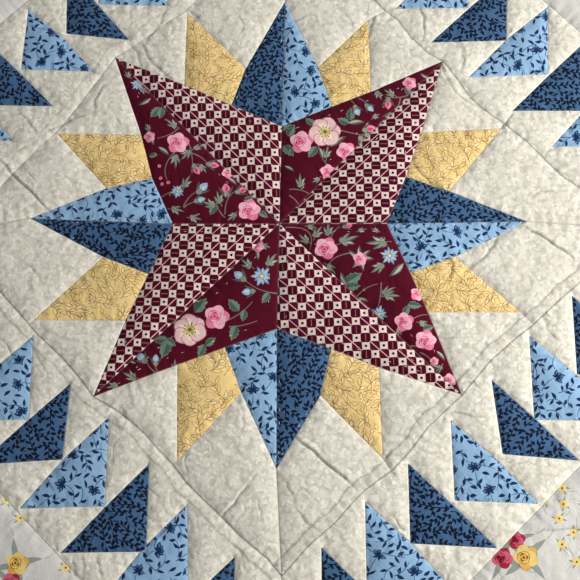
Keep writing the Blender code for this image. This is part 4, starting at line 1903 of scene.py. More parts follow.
@dataclass
class Cutter:
    """Cuts patches into fine triangles that follow the print and the seams."""

    folds: list[tuple[Point, Point, float]]
    rows: tuple[float, ...] = (0.45, 1.1, 2.2)
    row_step: float = 1.9
    grid: float = 1.9
    fold_rows: tuple[float, ...] = (-1.3, -0.5, 0.0, 0.5, 1.3)

    def cut(self, patch: Patch, motifs: list[Motif]) -> Cut:
        """Cuts one patch.

        Args:
            patch: The patch.
            motifs: Its printed shapes, from the lowest to the topmost.

        Returns:
            The patch's triangles with their inks.
        """
        outlines = (patch.outline, *patch.holes)
        points: list[Point] = []
        faces: list[list[int]] = []
        for outline in outlines:
            ring = self._subdivided(outline)
            faces.append(list(range(len(points), len(points) + len(ring))))
            points.extend(ring)
        fixed = len(faces)
        for motif in motifs:
            if not self._reaches(motif, patch):
                faces.append([])
                continue
            faces.append(list(range(len(points), len(points) + len(motif.outline))))
            points.extend(pair(point) for point in motif.outline)
        loose = self._fill(patch, outlines)
        points.extend(pair(point) for point in loose)
        wanted = [face for face in faces if face]
        number = [index for index, face in enumerate(faces) if face]
        found = delaunay_2d_cdt([Vector(point) for point in points], [], wanted, 1, 1e-3, True)
        flat = np.array([(point.x, point.y) for point in found[0]])
        kept: list[tuple[int, ...]] = []
        inks: list[Ink | None] = []
        boxes = [(motif.outline.min(axis=0), motif.outline.max(axis=0)) for motif in motifs]
        for face, sources in zip(found[2], found[5]):
            owners = [number[source] for source in sources]
            if 0 not in owners or any(0 < owner < fixed for owner in owners):
                continue
            kept.append(tuple(face))
            middle = flat[face].mean(axis=0)
            over = [owner - fixed for owner in owners if owner >= fixed]
            shown = [owner for owner in over
                     if (boxes[owner][0] <= middle).all() and (boxes[owner][1] >= middle).all()]
            inks.append(motifs[max(shown)].ink if shown else None)
        used = sorted({index for face in kept for index in face})
        place = {index: number for number, index in enumerate(used)}
        kept = [tuple(place[index] for index in face) for face in kept]
        flat = flat[used]
        gaps, inward = self._measure(flat, outlines)
        return Cut(flat, gaps, inward, kept, inks, self._rim(kept))

    def _subdivided(self, outline: tuple[Point, ...]) -> Outline:
        """Returns an outline with a point every few millimetres.

        Args:
            outline: The outline's points, in order.

        Returns:
            The finer outline.
        """
        ring: Outline = []
        for start, end in edges_of(outline):
            count = max(1, round(math.dist(start, end) / self.row_step))
            for step in range(count):
                share = step / count
                ring.append((start[0] + (end[0] - start[0]) * share, start[1] + (end[1] - start[1]) * share))
        return ring

    @staticmethod
    def _reaches(motif: Motif, patch: Patch) -> bool:
        """Tells whether a motif touches the patch's box.

        Args:
            motif: The motif.
            patch: The patch.

        Returns:
            Whether it does.
        """
        low, high = patch.box()
        return bool((motif.outline.max(axis=0) > low).all() and (motif.outline.min(axis=0) < high).all())

    def _fill(self, patch: Patch, outlines: tuple) -> np.ndarray:
        """Chooses rows of points beside the seams and an even grid between them.

        Args:
            patch: The patch to cover.
            outlines: The patch's outline, and then those of its holes.

        Returns:
            The points.
        """
        candidates: list[np.ndarray] = []
        for outline in outlines:
            for start, end in edges_of(outline):
                length = math.dist(start, end)
                if length < 0.5:
                    continue
                count = max(1, round(length / self.row_step))
                share = (np.arange(count) + 0.5) / count
                run = (np.array(end) - start) / length
                side = leftward(run)
                base = np.array(start) + share[:, None] * (np.array(end) - start)
                for reach in self.rows:
                    candidates.extend((base + side * reach, base - side * reach))
        rows = np.concatenate(candidates)
        gaps, _ = self._measure(rows, outlines)
        wanted = np.zeros(len(rows), dtype=bool)
        for reach in self.rows:
            wanted |= np.abs(gaps - reach) < 0.02
        rows = rows[wanted & self._in_patch(rows, outlines)]
        low, high = patch.box()
        ys = np.arange(low[1], high[1], self.grid * 0.87)
        xs = np.arange(low[0], high[0] + self.grid, self.grid)
        grid_x, grid_y = np.meshgrid(xs, ys)
        grid_x = grid_x + (np.arange(len(ys)) % 2)[:, None] * self.grid / 2
        even = np.stack((grid_x.ravel(), grid_y.ravel()), axis=1)
        gaps, _ = self._measure(even, outlines)
        even = even[(gaps > self.rows[-1] + 0.8) & self._in_patch(even, outlines)]
        folded = self._beside_folds(low, high)
        gaps, _ = self._measure(folded, outlines)
        folded = folded[(gaps > 0.5) & self._in_patch(folded, outlines)]
        return np.concatenate((rows, even, folded))

    def _beside_folds(self, low: np.ndarray, high: np.ndarray) -> np.ndarray:
        """Chooses rows of points along the folds in a box and to both sides of them.

        Args:
            low: The box's lowest corner.
            high: Its highest corner.

        Returns:
            The points.
        """
        found = [np.zeros((0, 2))]
        for start, end, _ in self.folds:
            if (np.maximum(start, end) < low).any() or (np.minimum(start, end) > high).any():
                continue
            run = np.array(end) - start
            length = float(np.linalg.norm(run))
            side = leftward(run) / length
            count = max(1, round(length / 1.3))
            share = (np.arange(count) + 0.5) / count
            for offset in self.fold_rows:
                found.append(np.array(start) + share[:, None] * run + side * offset)
        return np.concatenate(found)

    @staticmethod
    def _in_patch(points: np.ndarray, outlines: tuple) -> np.ndarray:
        """Tells which points lie in the patch and in none of its holes.

        Args:
            points: Points on the face, in millimetres.
            outlines: The patch's outline, and then those of its holes.

        Returns:
            True for each point that does.
        """
        result = np.zeros(len(points), dtype=bool)
        for number, outline in enumerate(outlines):
            crossed = np.zeros(len(points), dtype=bool)
            for start, end in edges_of(outline):
                straddles = (start[1] > points[:, 1]) != (end[1] > points[:, 1])
                rise = end[1] - start[1] if end[1] != start[1] else 1e-9
                meets = start[0] + (points[:, 1] - start[1]) * (end[0] - start[0]) / rise
                crossed ^= straddles & (points[:, 0] < meets)
            result = crossed if number == 0 else result & ~crossed
        return result

    @staticmethod
    def _measure(points: np.ndarray, outlines: tuple) -> tuple[np.ndarray, np.ndarray]:
        """Measures each point's distance from the nearest seam and the way from the seam to it.

        Args:
            points: Points on the face, in millimetres.
            outlines: The patch's outline, and then those of its holes.

        Returns:
            The distances and the unit ways.
        """
        gaps = np.full(len(points), np.inf)
        inward = np.zeros((len(points), 2))
        for number, outline in enumerate(outlines):
            for start, end in edges_of(outline):
                a = np.array(start)
                run = np.array(end) - a
                length = float(np.linalg.norm(run))
                if length < 1e-6:
                    continue
                share = np.clip((points - a) @ run / length ** 2, 0.0, 1.0)
                away = points - a - share[:, None] * run
                gap = np.linalg.norm(away, axis=1)
                sign = 1.0 if number == 0 else -1.0
                normal = leftward(run) / length * sign
                closer = gap < gaps - 1e-6
                gaps = np.where(closer, gap, gaps)
                way = np.where((gap > 0.05)[:, None], away / np.maximum(gap, 1e-6)[:, None], normal)
                inward = np.where(closer[:, None], way, inward)
        return gaps, inward

    @staticmethod
    def _rim(faces: list[tuple[int, ...]]) -> list[tuple[int, int]]:
        """Returns the edges that only one triangle uses.

        Args:
            faces: The triangles' points.

        Returns:
            Each edge's two points, in the triangle's order.
        """
        seen: dict[tuple[int, int], tuple[int, int]] = {}
        for face in faces:
            for start, end in edges_of(face):
                key = (min(start, end), max(start, end))
                if key in seen:
                    seen[key] = (-1, -1)
                else:
                    seen[key] = (start, end)
        return [edge for edge in seen.values() if edge[0] >= 0]


@dataclass(frozen=True)
class ClothFinishAndPaintedLight:
    """How a printed cotton looks, with the painted highlight along its seams and the painted shade in them.
    """

    ground: Ink
    # The ink and strength of the painted highlight along the patch's seams.
    edge_highlight_ink: Ink
    edge_highlight_share: float
    # The colour's factor for the painted shade right at a seam.
    seam_shade: float = 0.8
    roughness: float = 0.9
    sheen: float = 0.04


# Each cloth's ground, then the ink and strength of its painted edge highlight; the cream also sets its
# painted seam shade.
CLOTH_FINISHES_AND_PAINTED_LIGHT = {
    Cloth.CREAM: ClothFinishAndPaintedLight(INK.cream, INK.cream_light, 0.45, 0.80),
    Cloth.ROSE: ClothFinishAndPaintedLight(INK.burgundy, INK.rose_mid, 0.06),
    Cloth.CHECK: ClothFinishAndPaintedLight(INK.burgundy, INK.check_pale, 0.10),
    Cloth.NAVY: ClothFinishAndPaintedLight(INK.navy_ground, INK.sky_ground, 0.10),
    Cloth.SKY: ClothFinishAndPaintedLight(INK.sky_ground, INK.cream_light, 0.15),
    Cloth.GOLD: ClothFinishAndPaintedLight(INK.gold_ground, INK.cream_light, 0.10),
    Cloth.WHITE: ClothFinishAndPaintedLight(INK.white_ground, INK.cream_light, 0.0),
}


@dataclass
class Wiring:
    """A node tree, with short ways to fill it."""

    tree: bpy.types.NodeTree

    def node(self, kind: str, inputs: dict | None = None, **settings: str) -> bpy.types.Node:
        """Adds a node, sets it up, and fills or links its inputs.

        Args:
            kind: Blender's name for this kind of node.
            inputs: A value or a socket for each input, by its name or number.
            settings: The node's own settings.

        Returns:
            The new node.
        """
        made = self.tree.nodes.new(kind)
        for name, value in settings.items():
            setattr(made, name, value)
        for key, value in (inputs or {}).items():
            if isinstance(value, bpy.types.NodeSocket):
                self.tree.links.new(value, made.inputs[key])
            else:
                made.inputs[key].default_value = value.linear() if isinstance(value, Ink) else value
        return made

    def maths(self, operation: str, *values: float | bpy.types.NodeSocket) -> bpy.types.NodeSocket:
        """Adds a sum, a product or the like."""
        return self.node("ShaderNodeMath", dict(enumerate(values)), operation=operation).outputs[0]

    def noise(self, place: bpy.types.NodeSocket, scale: float, detail: float) -> bpy.types.NodeSocket:
        """Adds a noise texture in object space."""
        inputs = {"Vector": place, "Scale": scale, "Detail": detail}
        return self.node("ShaderNodeTexNoise", inputs).outputs["Fac"]

    def mixed(self, share: bpy.types.NodeSocket, first: bpy.types.NodeSocket | Ink,
              second: bpy.types.NodeSocket | Ink) -> bpy.types.NodeSocket:
        """Mixes two colours."""
        return self.node("ShaderNodeMix", {0: share, 6: first, 7: second}, data_type="RGBA").outputs[2]

    def ranged(self, value: bpy.types.NodeSocket, low: float, high: float, start: float,
               end: float) -> bpy.types.NodeSocket:
        """Maps a value from one range to another, without passing its ends."""
        return self.node("ShaderNodeMapRange", {0: value, 1: low, 2: high, 3: start, 4: end}).outputs[0]

    def scaled(self, colour: bpy.types.NodeSocket, first: bpy.types.NodeSocket,
               second: bpy.types.NodeSocket) -> bpy.types.NodeSocket:
        """Makes a colour lighter or darker by two factors."""
        inputs = {0: colour, "Scale": self.maths("MULTIPLY", first, second)}
        return self.node("ShaderNodeVectorMath", inputs, operation="SCALE").outputs["Vector"]


@dataclass
class Weave:
    """Builds the cottons' materials."""

    finish_and_light: ClothFinishAndPaintedLight
    name: str
    blotch_scale: float = 330.0
    thread_scale: float = 700.0

    def material(self, tone_on_tone: bool) -> bpy.types.Material:
        """Builds the material.

        Args:
            tone_on_tone: Whether the cloth has the cream's own mottled print.

        Returns:
            The new material.
        """
        material = bpy.data.materials.new(self.name)
        material.use_nodes = True
        wiring = Wiring(material.node_tree)
        shader = wiring.tree.nodes["Principled BSDF"]
        for name, value in (("Roughness", self.finish_and_light.roughness), ("Sheen Weight", self.finish_and_light.sheen),
                            ("Sheen Roughness", 0.5), ("Specular IOR Level", 0.14)):
            shader.inputs[name].default_value = value
        place = wiring.node("ShaderNodeTexCoord").outputs["Object"]
        colour = self._tone_on_tone(wiring, place) if tone_on_tone else self._stored(wiring, "dye", "Color")
        colour = self._painted_highlight_and_shade(wiring, self._varied(wiring, colour, place))
        wiring.tree.links.new(colour, shader.inputs["Base Color"])
        wiring.tree.links.new(self._bump(wiring, place), shader.inputs["Normal"])
        return material

    @staticmethod
    def _stored(wiring: Wiring, name: str, output: str = "Fac") -> bpy.types.NodeSocket:
        """Reads a value that is stored on the mesh."""
        return wiring.node("ShaderNodeAttribute", attribute_name=name).outputs[output]

    def _tone_on_tone(self, wiring: Wiring, place: bpy.types.NodeSocket) -> bpy.types.NodeSocket:
        """Builds the cream cloth's soft leafy blotches.

        Args:
            wiring: The material's tree.
            place: The point on the piece.

        Returns:
            The cream's colour.
        """
        scale = self.blotch_scale
        swirl = wiring.node("ShaderNodeTexNoise", {"Vector": place, "Scale": scale, "Detail": 2.0})
        bent = wiring.node("ShaderNodeVectorMath", {0: swirl.outputs["Color"], 1: (0.006, 0.006, 0.0),
                                                    2: place}, operation="MULTIPLY_ADD").outputs["Vector"]
        blot = wiring.node("ShaderNodeTexVoronoi", {"Vector": bent, "Scale": scale, "Smoothness": 0.35,
                                                    "Randomness": 1.0}, feature="SMOOTH_F1")
        dark = wiring.ranged(blot.outputs["Distance"], 0.30, 0.52, 0.0, 1.0)
        soft = wiring.ranged(wiring.noise(place, 300.0, 3.0), 0.42, 0.60, 0.0, 1.0)
        return wiring.mixed(soft, wiring.mixed(dark, INK.cream_light, INK.cream_shade), INK.cream)

    @staticmethod
    def _varied(wiring: Wiring, colour: bpy.types.NodeSocket,
                place: bpy.types.NodeSocket) -> bpy.types.NodeSocket:
        """Adds the uneven take of the dye, broad and thread by thread.

        Args:
            wiring: The material's tree.
            colour: The cloth's colour.
            place: The point on the piece.

        Returns:
            The uneven colour.
        """
        broad = wiring.ranged(wiring.noise(place, 14.0, 3.0), 0.3, 0.7, 0.94, 1.05)
        threads = wiring.ranged(wiring.noise(place, 1900.0, 1.0), 0.3, 0.7, 0.93, 1.06)
        return wiring.scaled(colour, broad, threads)

    def _painted_highlight_and_shade(self, wiring: Wiring, colour: bpy.types.NodeSocket) -> bpy.types.NodeSocket:
        """Paints a highlight along the patch's edge where it meets a seam, and paints shade in the seams and
        folds.

        Args:
            wiring: The material's tree.
            colour: The cloth's colour away from its seams.

        Returns:
            The colour with its painted highlight and painted shade.
        """
        gap = self._stored(wiring, "seam_gap")
        # Painted highlight: the cloth turns paler just inside its seams.
        pale = wiring.ranged(gap, 0.30, 0.80, self.finish_and_light.edge_highlight_share, 0.0)
        # Painted shade in the seam's ditch.
        seam = wiring.ranged(gap, 0.0, 0.45, self.finish_and_light.seam_shade, 1.0)
        # Painted shade in folds and creases and over the pressed allowance bands.
        crease = wiring.ranged(self._stored(wiring, "fold"), 0.0, 1.0, 1.0, 0.30)
        return wiring.scaled(wiring.mixed(pale, colour, self.finish_and_light.edge_highlight_ink), seam, crease)

    def _bump(self, wiring: Wiring, place: bpy.types.NodeSocket) -> bpy.types.NodeSocket:
        """Adds the plain weave's threads, small crumples and fine wrinkles.

        Args:
            wiring: The material's tree.
            place: The point on the piece.

        Returns:
            The bent normal.
        """
        inputs: dict = {"Vector": place, "Scale": self.thread_scale, "Distortion": 0.6}
        threads = [wiring.node("ShaderNodeTexWave", inputs, bands_direction=direction).outputs["Fac"]
                   for direction in ("X", "Y")]
        inputs = {}
        for height, strength, depth in ((wiring.maths("ADD", *threads), 0.10, 0.00015),
                                        (wiring.noise(place, 260.0, 4.0), 0.50, 0.0008),
                                        (self._crinkles(wiring, place), 0.50, 0.0005)):
            inputs.update({"Height": height, "Strength": strength, "Distance": depth})
            inputs["Normal"] = wiring.node("ShaderNodeBump", inputs).outputs["Normal"]
        return inputs["Normal"]

    @staticmethod
    def _crinkles(wiring: Wiring, place: bpy.types.NodeSocket) -> bpy.types.NodeSocket:
        """Draws fine broken wrinkle lines.

        Args:
            wiring: The material's tree.
            place: The point on the piece.

        Returns:
            The height of the cloth, from 0 in a line to 1 beside it.
        """
        lines = []
        for scale, width in ((34.0, 0.045), (66.0, 0.060)):
            away = wiring.maths("ABSOLUTE", wiring.maths("SUBTRACT", wiring.noise(place, scale, 0.8), 0.5))
            line = wiring.ranged(away, 0.0, width, 1.0, 0.0)
            shown = wiring.ranged(wiring.noise(place, scale * 0.6 + 7.0, 1.0), 0.50, 0.62, 0.0, 1.0)
            lines.append(wiring.maths("MULTIPLY", line, shown))
        return wiring.ranged(wiring.maths("ADD", *lines), 0.0, 1.0, 1.0, 0.0)


@dataclass
class PiecedTop:
    """The pieced top: one object for each print, draped on the relief."""

    layout: Layout
    relief: Relief
    turn_under: float = 0.6
    objects: list[bpy.types.Object] = field(default_factory=list)

    def build(self) -> "PiecedTop":
        """Builds every print's object.

        Returns:
            The top itself.
        """
        for number, cloth in enumerate(Cloth):
            patches = [patch for patch in self.layout.patches if patch.cloth is cloth]
            self.objects.append(self._object(cloth, patches, 100 + number))
        return self

    def _object(self, cloth: Cloth, patches: list[Patch], seed: int) -> bpy.types.Object:
        """Cuts and joins all patches of one cloth.

        Args:
            cloth: The patch's cloth.
            patches: The cloth's patches.
            seed: The print's seed.

        Returns:
            The new object.
        """
        cutter = Cutter(self.layout.fold_lines())
        printer = Print(cloth, seed)
        finish_and_light = CLOTH_FINISHES_AND_PAINTED_LIGHT[cloth]
        vertices: list[np.ndarray] = []
        normals: list[np.ndarray] = []
        gaps: list[np.ndarray] = []
        folds: list[np.ndarray] = []
        faces: list[tuple[int, ...]] = []
        inks: list[Ink] = []
        offset = 0
        for patch in patches:
            cut = cutter.cut(patch, printer.motifs(patch))
            rim = sorted({index for edge in cut.rim for index in edge})
            place, normal = self._drape(cut)
            under = place[rim] - (0.0, 0.0, self.turn_under)
            slot = {index: offset + len(place) + number for number, index in enumerate(rim)}
            faces.extend(tuple(index + offset for index in face) for face in cut.faces)
            inks.extend(ink or finish_and_light.ground for ink in cut.inks)
            for start, end in cut.rim:
                faces.append((end + offset, start + offset, slot[start], slot[end]))
                inks.append(finish_and_light.ground)
            vertices.extend((place, under))
            normals.extend((normal, normal[rim]))
            gaps.extend((cut.gaps, np.zeros(len(rim))))
            fold = self.relief.folded(cut.points)
            folds.extend((fold, fold[rim]))
            offset += len(place) + len(rim)
        mesh = bpy.data.meshes.new(cloth.value)
        mesh.from_pydata(np.concatenate(vertices) * MM, [], faces)
        self._attributes(mesh, np.concatenate(gaps), np.concatenate(folds), inks)
        self._planar_map(mesh)
        mesh.shade_smooth()
        mesh.normals_split_custom_set_from_vertices([tuple(normal) for normal in np.concatenate(normals)])
        piece = bpy.data.objects.new(cloth.value, mesh)
        bpy.context.scene.collection.objects.link(piece)
        mesh.materials.append(Weave(finish_and_light, cloth.value).material(cloth is Cloth.CREAM))
        triangles = sum(len(face) - 2 for face in faces)
        LOG.info("%s: %d patches, %d triangles", cloth.value, len(patches), triangles)
        return piece

    def _drape(self, cut: Cut) -> tuple[np.ndarray, np.ndarray]:
        """Lays a cut patch on the relief and works out its normals.

        Args:
            cut: The cut patch.

        Returns:
            The points in space and the normals.
        """
        relief = self.relief
        dip = relief.ditch * np.exp(-cut.gaps / relief.ditch_reach)
        height = relief.heights(cut.points) - dip
        slope = relief.slopes(cut.points) + cut.inward * (dip / relief.ditch_reach)[:, None]
        normal = np.concatenate((-slope, np.ones((len(slope), 1))), axis=1)
        normal /= np.linalg.norm(normal, axis=1)[:, None]
        return np.concatenate((cut.points, height[:, None]), axis=1), normal

    @staticmethod
    def _attributes(mesh: bpy.types.Mesh, gaps: np.ndarray, folds: np.ndarray, inks: list[Ink]) -> None:
        """Stores the seam distance and the fold depth that sets the painted shade at points, and the dye at
        face corners.

        Args:
            mesh: The mesh.
            gaps: Each point's distance from a seam.
            folds: How deep each point lies in a fold, which sets its painted shade.
            inks: Each face's ink.
        """
        for name, values in (("seam_gap", np.minimum(gaps, 12.0)), ("fold", folds)):
            layer = mesh.attributes.new(name, "FLOAT", "POINT")
            layer.data.foreach_set("value", values.astype(np.float32))
        sizes = np.empty(len(mesh.polygons), dtype=np.int32)
        mesh.polygons.foreach_get("loop_total", sizes)
        colours = np.array([ink.linear() for ink in inks], dtype=np.float32)
        dye = mesh.color_attributes.new("dye", "FLOAT_COLOR", "CORNER")
        dye.data.foreach_set("color", np.repeat(colours, sizes, axis=0).ravel())

    @staticmethod
    def _planar_map(mesh: bpy.types.Mesh) -> None:
        """Maps the piece flat, seen from above, into the unit square.

        Args:
            mesh: The mesh.
        """
        corner_points = np.empty(len(mesh.loops), dtype=np.int32)
        mesh.loops.foreach_get("vertex_index", corner_points)
        place = np.empty(len(mesh.vertices) * 3, dtype=np.float32)
        mesh.vertices.foreach_get("co", place)
        flat = place.reshape(-1, 3)[:, :2]
        low = flat.min(axis=0)
        size = float((flat.max(axis=0) - low).max())
        placed = 0.005 + 0.99 * (flat - low) / size
        layer = mesh.uv_layers.new(name="OFBake")
        layer.data.foreach_set("uv", placed[corner_points].astype(np.float32).ravel())


@dataclass
class Padding:
    """Wadding and backing: the closed body under the pieced top."""

    relief: Relief
    half: float = 240.0
    step: float = 4.0
    below_top: float = 0.75
    tuck: float = 0.8

    def build(self) -> bpy.types.Object:
        """Builds the body.

        Returns:
            The body's object.
        """
        body = bmesh.new()
        count = int(round(2 * self.half / self.step))
        bmesh.ops.create_grid(body, x_segments=count, y_segments=count, size=self.half)
        flat = np.array([(vertex.co.x, vertex.co.y) for vertex in body.verts])
        height = self.relief.lowest(np.clip(flat, -self.half + 1.0, self.half - 1.0)) - self.below_top
        for vertex, level in zip(body.verts, height):
            vertex.co.z = level
        top_faces = body.faces[:]
        rim = [edge for edge in body.edges if edge.is_boundary]
        girth = bmesh.ops.extrude_edge_only(body, edges=rim)["geom"]
        girth_points = [item for item in girth if isinstance(item, bmesh.types.BMVert)]
        for vertex in girth_points:
            vertex.co.z = self.relief.edge_height * 0.5
        girth_edges = [item for item in girth if isinstance(item, bmesh.types.BMEdge) and item.is_boundary]
        lower = bmesh.ops.extrude_edge_only(body, edges=girth_edges)["geom"]
        for item in lower:
            if isinstance(item, bmesh.types.BMVert):
                item.co.z = 0.0
                self._draw_in(item)
        lower_edges = [item for item in lower if isinstance(item, bmesh.types.BMEdge) and item.is_boundary]
        bmesh.ops.contextual_create(body, geom=lower_edges)
        for vertex in {vertex for face in top_faces for vertex in face.verts}:
            self._draw_in(vertex)
        bmesh.ops.recalc_face_normals(body, faces=body.faces[:])
        bmesh.ops.triangulate(body, faces=[face for face in body.faces if len(face.verts) > 4])
        bmesh.ops.scale(body, vec=(MM, MM, MM), verts=body.verts[:])
        mesh = bpy.data.meshes.new("wadding_and_backing")
        body.to_mesh(mesh)
        body.free()
        mesh.shade_smooth()
        piece = bpy.data.objects.new("wadding_and_backing", mesh)
        bpy.context.scene.collection.objects.link(piece)
        finish_and_light = ClothFinishAndPaintedLight(INK.cream, INK.cream_light, 0.0)
        mesh.materials.append(Weave(finish_and_light, "cream_backing").material(True))
        return piece

    def _draw_in(self, vertex: bmesh.types.BMVert) -> None:
        """Draws a point of the rim in a little, so that the edge is rounded.

        Args:
            vertex: The point.
        """
        for axis in (0, 1):
            if abs(vertex.co[axis]) > self.half - 0.01:
                vertex.co[axis] = math.copysign(self.half - self.tuck, vertex.co[axis])


@dataclass
class Quilting:
    """Hand quilting: short stitches of thread along the outlines of the patches."""

    layout: Layout
    relief: Relief
    pitch: float = 8.2
    length: float = 2.3
    radius: float = 0.13
    shown: float = 0.66
    star_inset: float = 5.6
    near_inset: float = 1.5
    least: float = 0.8
    most: float = 1.15

    def build(self) -> bpy.types.Object:
        """Builds the stitches with Geometry Nodes and turns them into a mesh.

        Returns:
            The stitches' object.
        """
        places, turns, tilts = self._stations()
        seedbed = bpy.data.meshes.new("stitch_places")
        seedbed.from_pydata(places * MM, [], [])
        for name, values in (("turn", turns), ("tilt", tilts)):
            layer = seedbed.attributes.new(name, "FLOAT", "POINT")
            layer.data.foreach_set("value", values.astype(np.float32))
        holder = bpy.data.objects.new("stitch_places", seedbed)
        bpy.context.scene.collection.objects.link(holder)
        modifier = holder.modifiers.new("sew", "NODES")
        modifier.node_group = self._tree()
        for name, value in (("Stitch Length", self.length * MM), ("Thread Radius", self.radius * MM),
                            ("Seed", 7)):
            modifier[self._socket(modifier.node_group, name)] = value
        evaluated = holder.evaluated_get(bpy.context.evaluated_depsgraph_get())
        mesh = bpy.data.meshes.new_from_object(evaluated)
        mesh.name = "quilting_stitches"
        holder.modifiers.remove(modifier)
        bpy.data.objects.remove(holder, do_unlink=True)
        mesh.shade_smooth()
        piece = bpy.data.objects.new("quilting_stitches", mesh)
        bpy.context.scene.collection.objects.link(piece)
        LOG.info("%d stitches, %d faces", len(places), len(mesh.polygons))
        return piece

    def _stations(self) -> tuple[np.ndarray, np.ndarray, np.ndarray]:
        """Finds each stitch's place, heading and slope along the quilting lines.

        Returns:
            The places, the headings and the tilts.
        """
        random = np.random.default_rng(21)
        flat: list[Point] = []
        turns: list[float] = []
        insets = {Cloth.ROSE: self.star_inset, Cloth.CHECK: self.star_inset, Cloth.GOLD: self.near_inset,
                  Cloth.NAVY: self.near_inset, Cloth.SKY: self.near_inset}
        for patch in self.layout.patches:
            if patch.cloth not in insets or np.linalg.norm(np.mean(patch.outline, axis=0)) > 150.0:
                continue
            for start, end in self._inset(patch.outline, insets[patch.cloth]):
                run = np.array(end) - start
                length = float(np.linalg.norm(run))
                count = int(length / self.pitch)
                for number in range(count):
                    if random.random() > self.shown:
                        continue
                    share = (number + 0.5 + random.uniform(-0.10, 0.10)) / count
                    side = leftward(run) / length * random.uniform(-0.25, 0.25)
                    flat.append(pair(np.array(start) + run * share + side))
                    turns.append(math.atan2(run[1], run[0]) + random.uniform(-0.07, 0.07))
        points = np.array(flat)
        keep = np.abs(points).max(axis=1) < self.layout.panel_half - 3.0
        points = points[keep]
        turn = np.array(turns)[keep]
        heading = np.stack((np.cos(turn), np.sin(turn)), axis=1)
        rise = (self.relief.slopes(points) * heading).sum(axis=1)
        height = self.relief.heights(points) + self.radius * 0.15
        return np.concatenate((points, height[:, None]), axis=1), turn, -np.arctan(rise)

    @staticmethod
    def _inset(outline: tuple[Point, ...], inset: float) -> list[tuple[Point, Point]]:
        """Returns the sides of a patch moved inward, shortened to meet each other.

        Args:
            outline: The outline's points, in order.
            inset: How far inward.

        Returns:
            Each side's two ends.
        """
        moved = []
        lines = []
        for start, end in edges_of(outline):
            run = unit((end[0] - start[0], end[1] - start[1]))
            normal = leftward(run)
            lines.append((np.array(start) + normal * inset, run))
        meets = []
        for (place, run), (other, turn) in edges_of(lines):
            cross = run[0] * turn[1] - run[1] * turn[0]
            if abs(cross) < 1e-3:
                meets.append(other)
                continue
            away = other - place
            meets.append(place + run * (away[0] * turn[1] - away[1] * turn[0]) / cross)
        for (place, run), first, second in zip(lines, meets[-1:] + meets[:-1], meets):
            if (second - first) @ run > 6.0:
                moved.append((pair(first), pair(second)))
        return moved

    @staticmethod
    def _socket(group: bpy.types.NodeTree, name: str) -> str:
        """Returns the identifier of a group's input."""
        return next(item.identifier for item in group.interface.items_tree if item.name == name)

    def _tree(self) -> bpy.types.NodeTree:
        """Builds the node tree that sews one stitch at each place.

        Returns:
            The tree, with the stitch's length, the thread's radius and the seed as inputs.
        """
        group = bpy.data.node_groups.new("sew_stitches", "GeometryNodeTree")
        for name, side, kind in (("Geometry", "INPUT", "Geometry"), ("Stitch Length", "INPUT", "Float"),
                                 ("Thread Radius", "INPUT", "Float"), ("Seed", "INPUT", "Int"),
                                 ("Geometry", "OUTPUT", "Geometry")):
            group.interface.new_socket(name, in_out=side, socket_type="NodeSocket" + kind)
        wiring = Wiring(group)
        given = wiring.node("NodeGroupInput").outputs
        ball = wiring.node("GeometryNodeMeshUVSphere", {"Segments": 6, "Rings": 5, "Radius": 1.0})
        half = wiring.maths("MULTIPLY", given["Stitch Length"], 0.5)
        size = wiring.node("ShaderNodeCombineXYZ", {"X": half, "Y": given["Thread Radius"],
                                                    "Z": given["Thread Radius"]})
        shape = wiring.node("GeometryNodeTransform", {"Geometry": ball.outputs["Mesh"],
                                                      "Scale": size.outputs[0]})
        angles = wiring.node("ShaderNodeCombineXYZ", {"Y": self._named(wiring, "tilt"),
                                                      "Z": self._named(wiring, "turn")})
        vary = wiring.node("FunctionNodeRandomValue", {"Seed": given["Seed"]}, data_type="FLOAT")
        low, high = [socket for socket in vary.inputs if socket.type == "VALUE" and socket.enabled][:2]
        low.default_value, high.default_value = self.least, self.most
        spread = wiring.node("GeometryNodeInstanceOnPoints", {
            "Points": given["Geometry"], "Instance": shape.outputs["Geometry"], "Rotation": angles.outputs[0],
            "Scale": next(socket for socket in vary.outputs if socket.enabled)})
        real = wiring.node("GeometryNodeRealizeInstances", {"Geometry": spread.outputs["Instances"]})
        thread = wiring.node("GeometryNodeSetMaterial", {"Geometry": real.outputs["Geometry"],
                                                         "Material": self._thread()})
        wiring.node("NodeGroupOutput", {"Geometry": thread.outputs["Geometry"]})
        return group

    @staticmethod
    def _named(wiring: Wiring, name: str) -> bpy.types.NodeSocket:
        """Adds a node that reads a point's stored number."""
        reader = wiring.node("GeometryNodeInputNamedAttribute", {"Name": name}, data_type="FLOAT")
        return next(socket for socket in reader.outputs if socket.enabled)

    @staticmethod
    def _thread() -> bpy.types.Material:
        """Builds the twisted cotton thread's material.

        Returns:
            The new material.
        """
        material = bpy.data.materials.new("quilting_thread")
        material.use_nodes = True
        wiring = Wiring(material.node_tree)
        shader = wiring.tree.nodes["Principled BSDF"]
        shader.inputs["Roughness"].default_value = 0.7
        shader.inputs["Sheen Weight"].default_value = 0.2
        twist = wiring.noise(wiring.node("ShaderNodeTexCoord").outputs["Object"], 2500.0, 1.0)
        share = wiring.ranged(twist, 0.35, 0.65, 0.0, 0.35)
        wiring.tree.links.new(wiring.mixed(share, INK.thread, INK.cream_shade), shader.inputs["Base Color"])
        return material


@dataclass(frozen=True)
class Lamp:
    """A soft square lamp that faces the quilt."""

    name: str
    place: tuple[float, float, float]
    size: float
    power: float
    colour: tuple[float, float, float]

    def build(self) -> None:
        """Adds the lamp."""
        data = bpy.data.lights.new(self.name, "AREA")
        data.size = self.size
        data.energy = self.power
        data.color = self.colour
        lamp = bpy.data.objects.new(self.name, data)
        lamp.location = self.place
        lamp.rotation_euler = Vector(self.place).to_track_quat("Z", "Y").to_euler()
        bpy.context.scene.collection.objects.link(lamp)


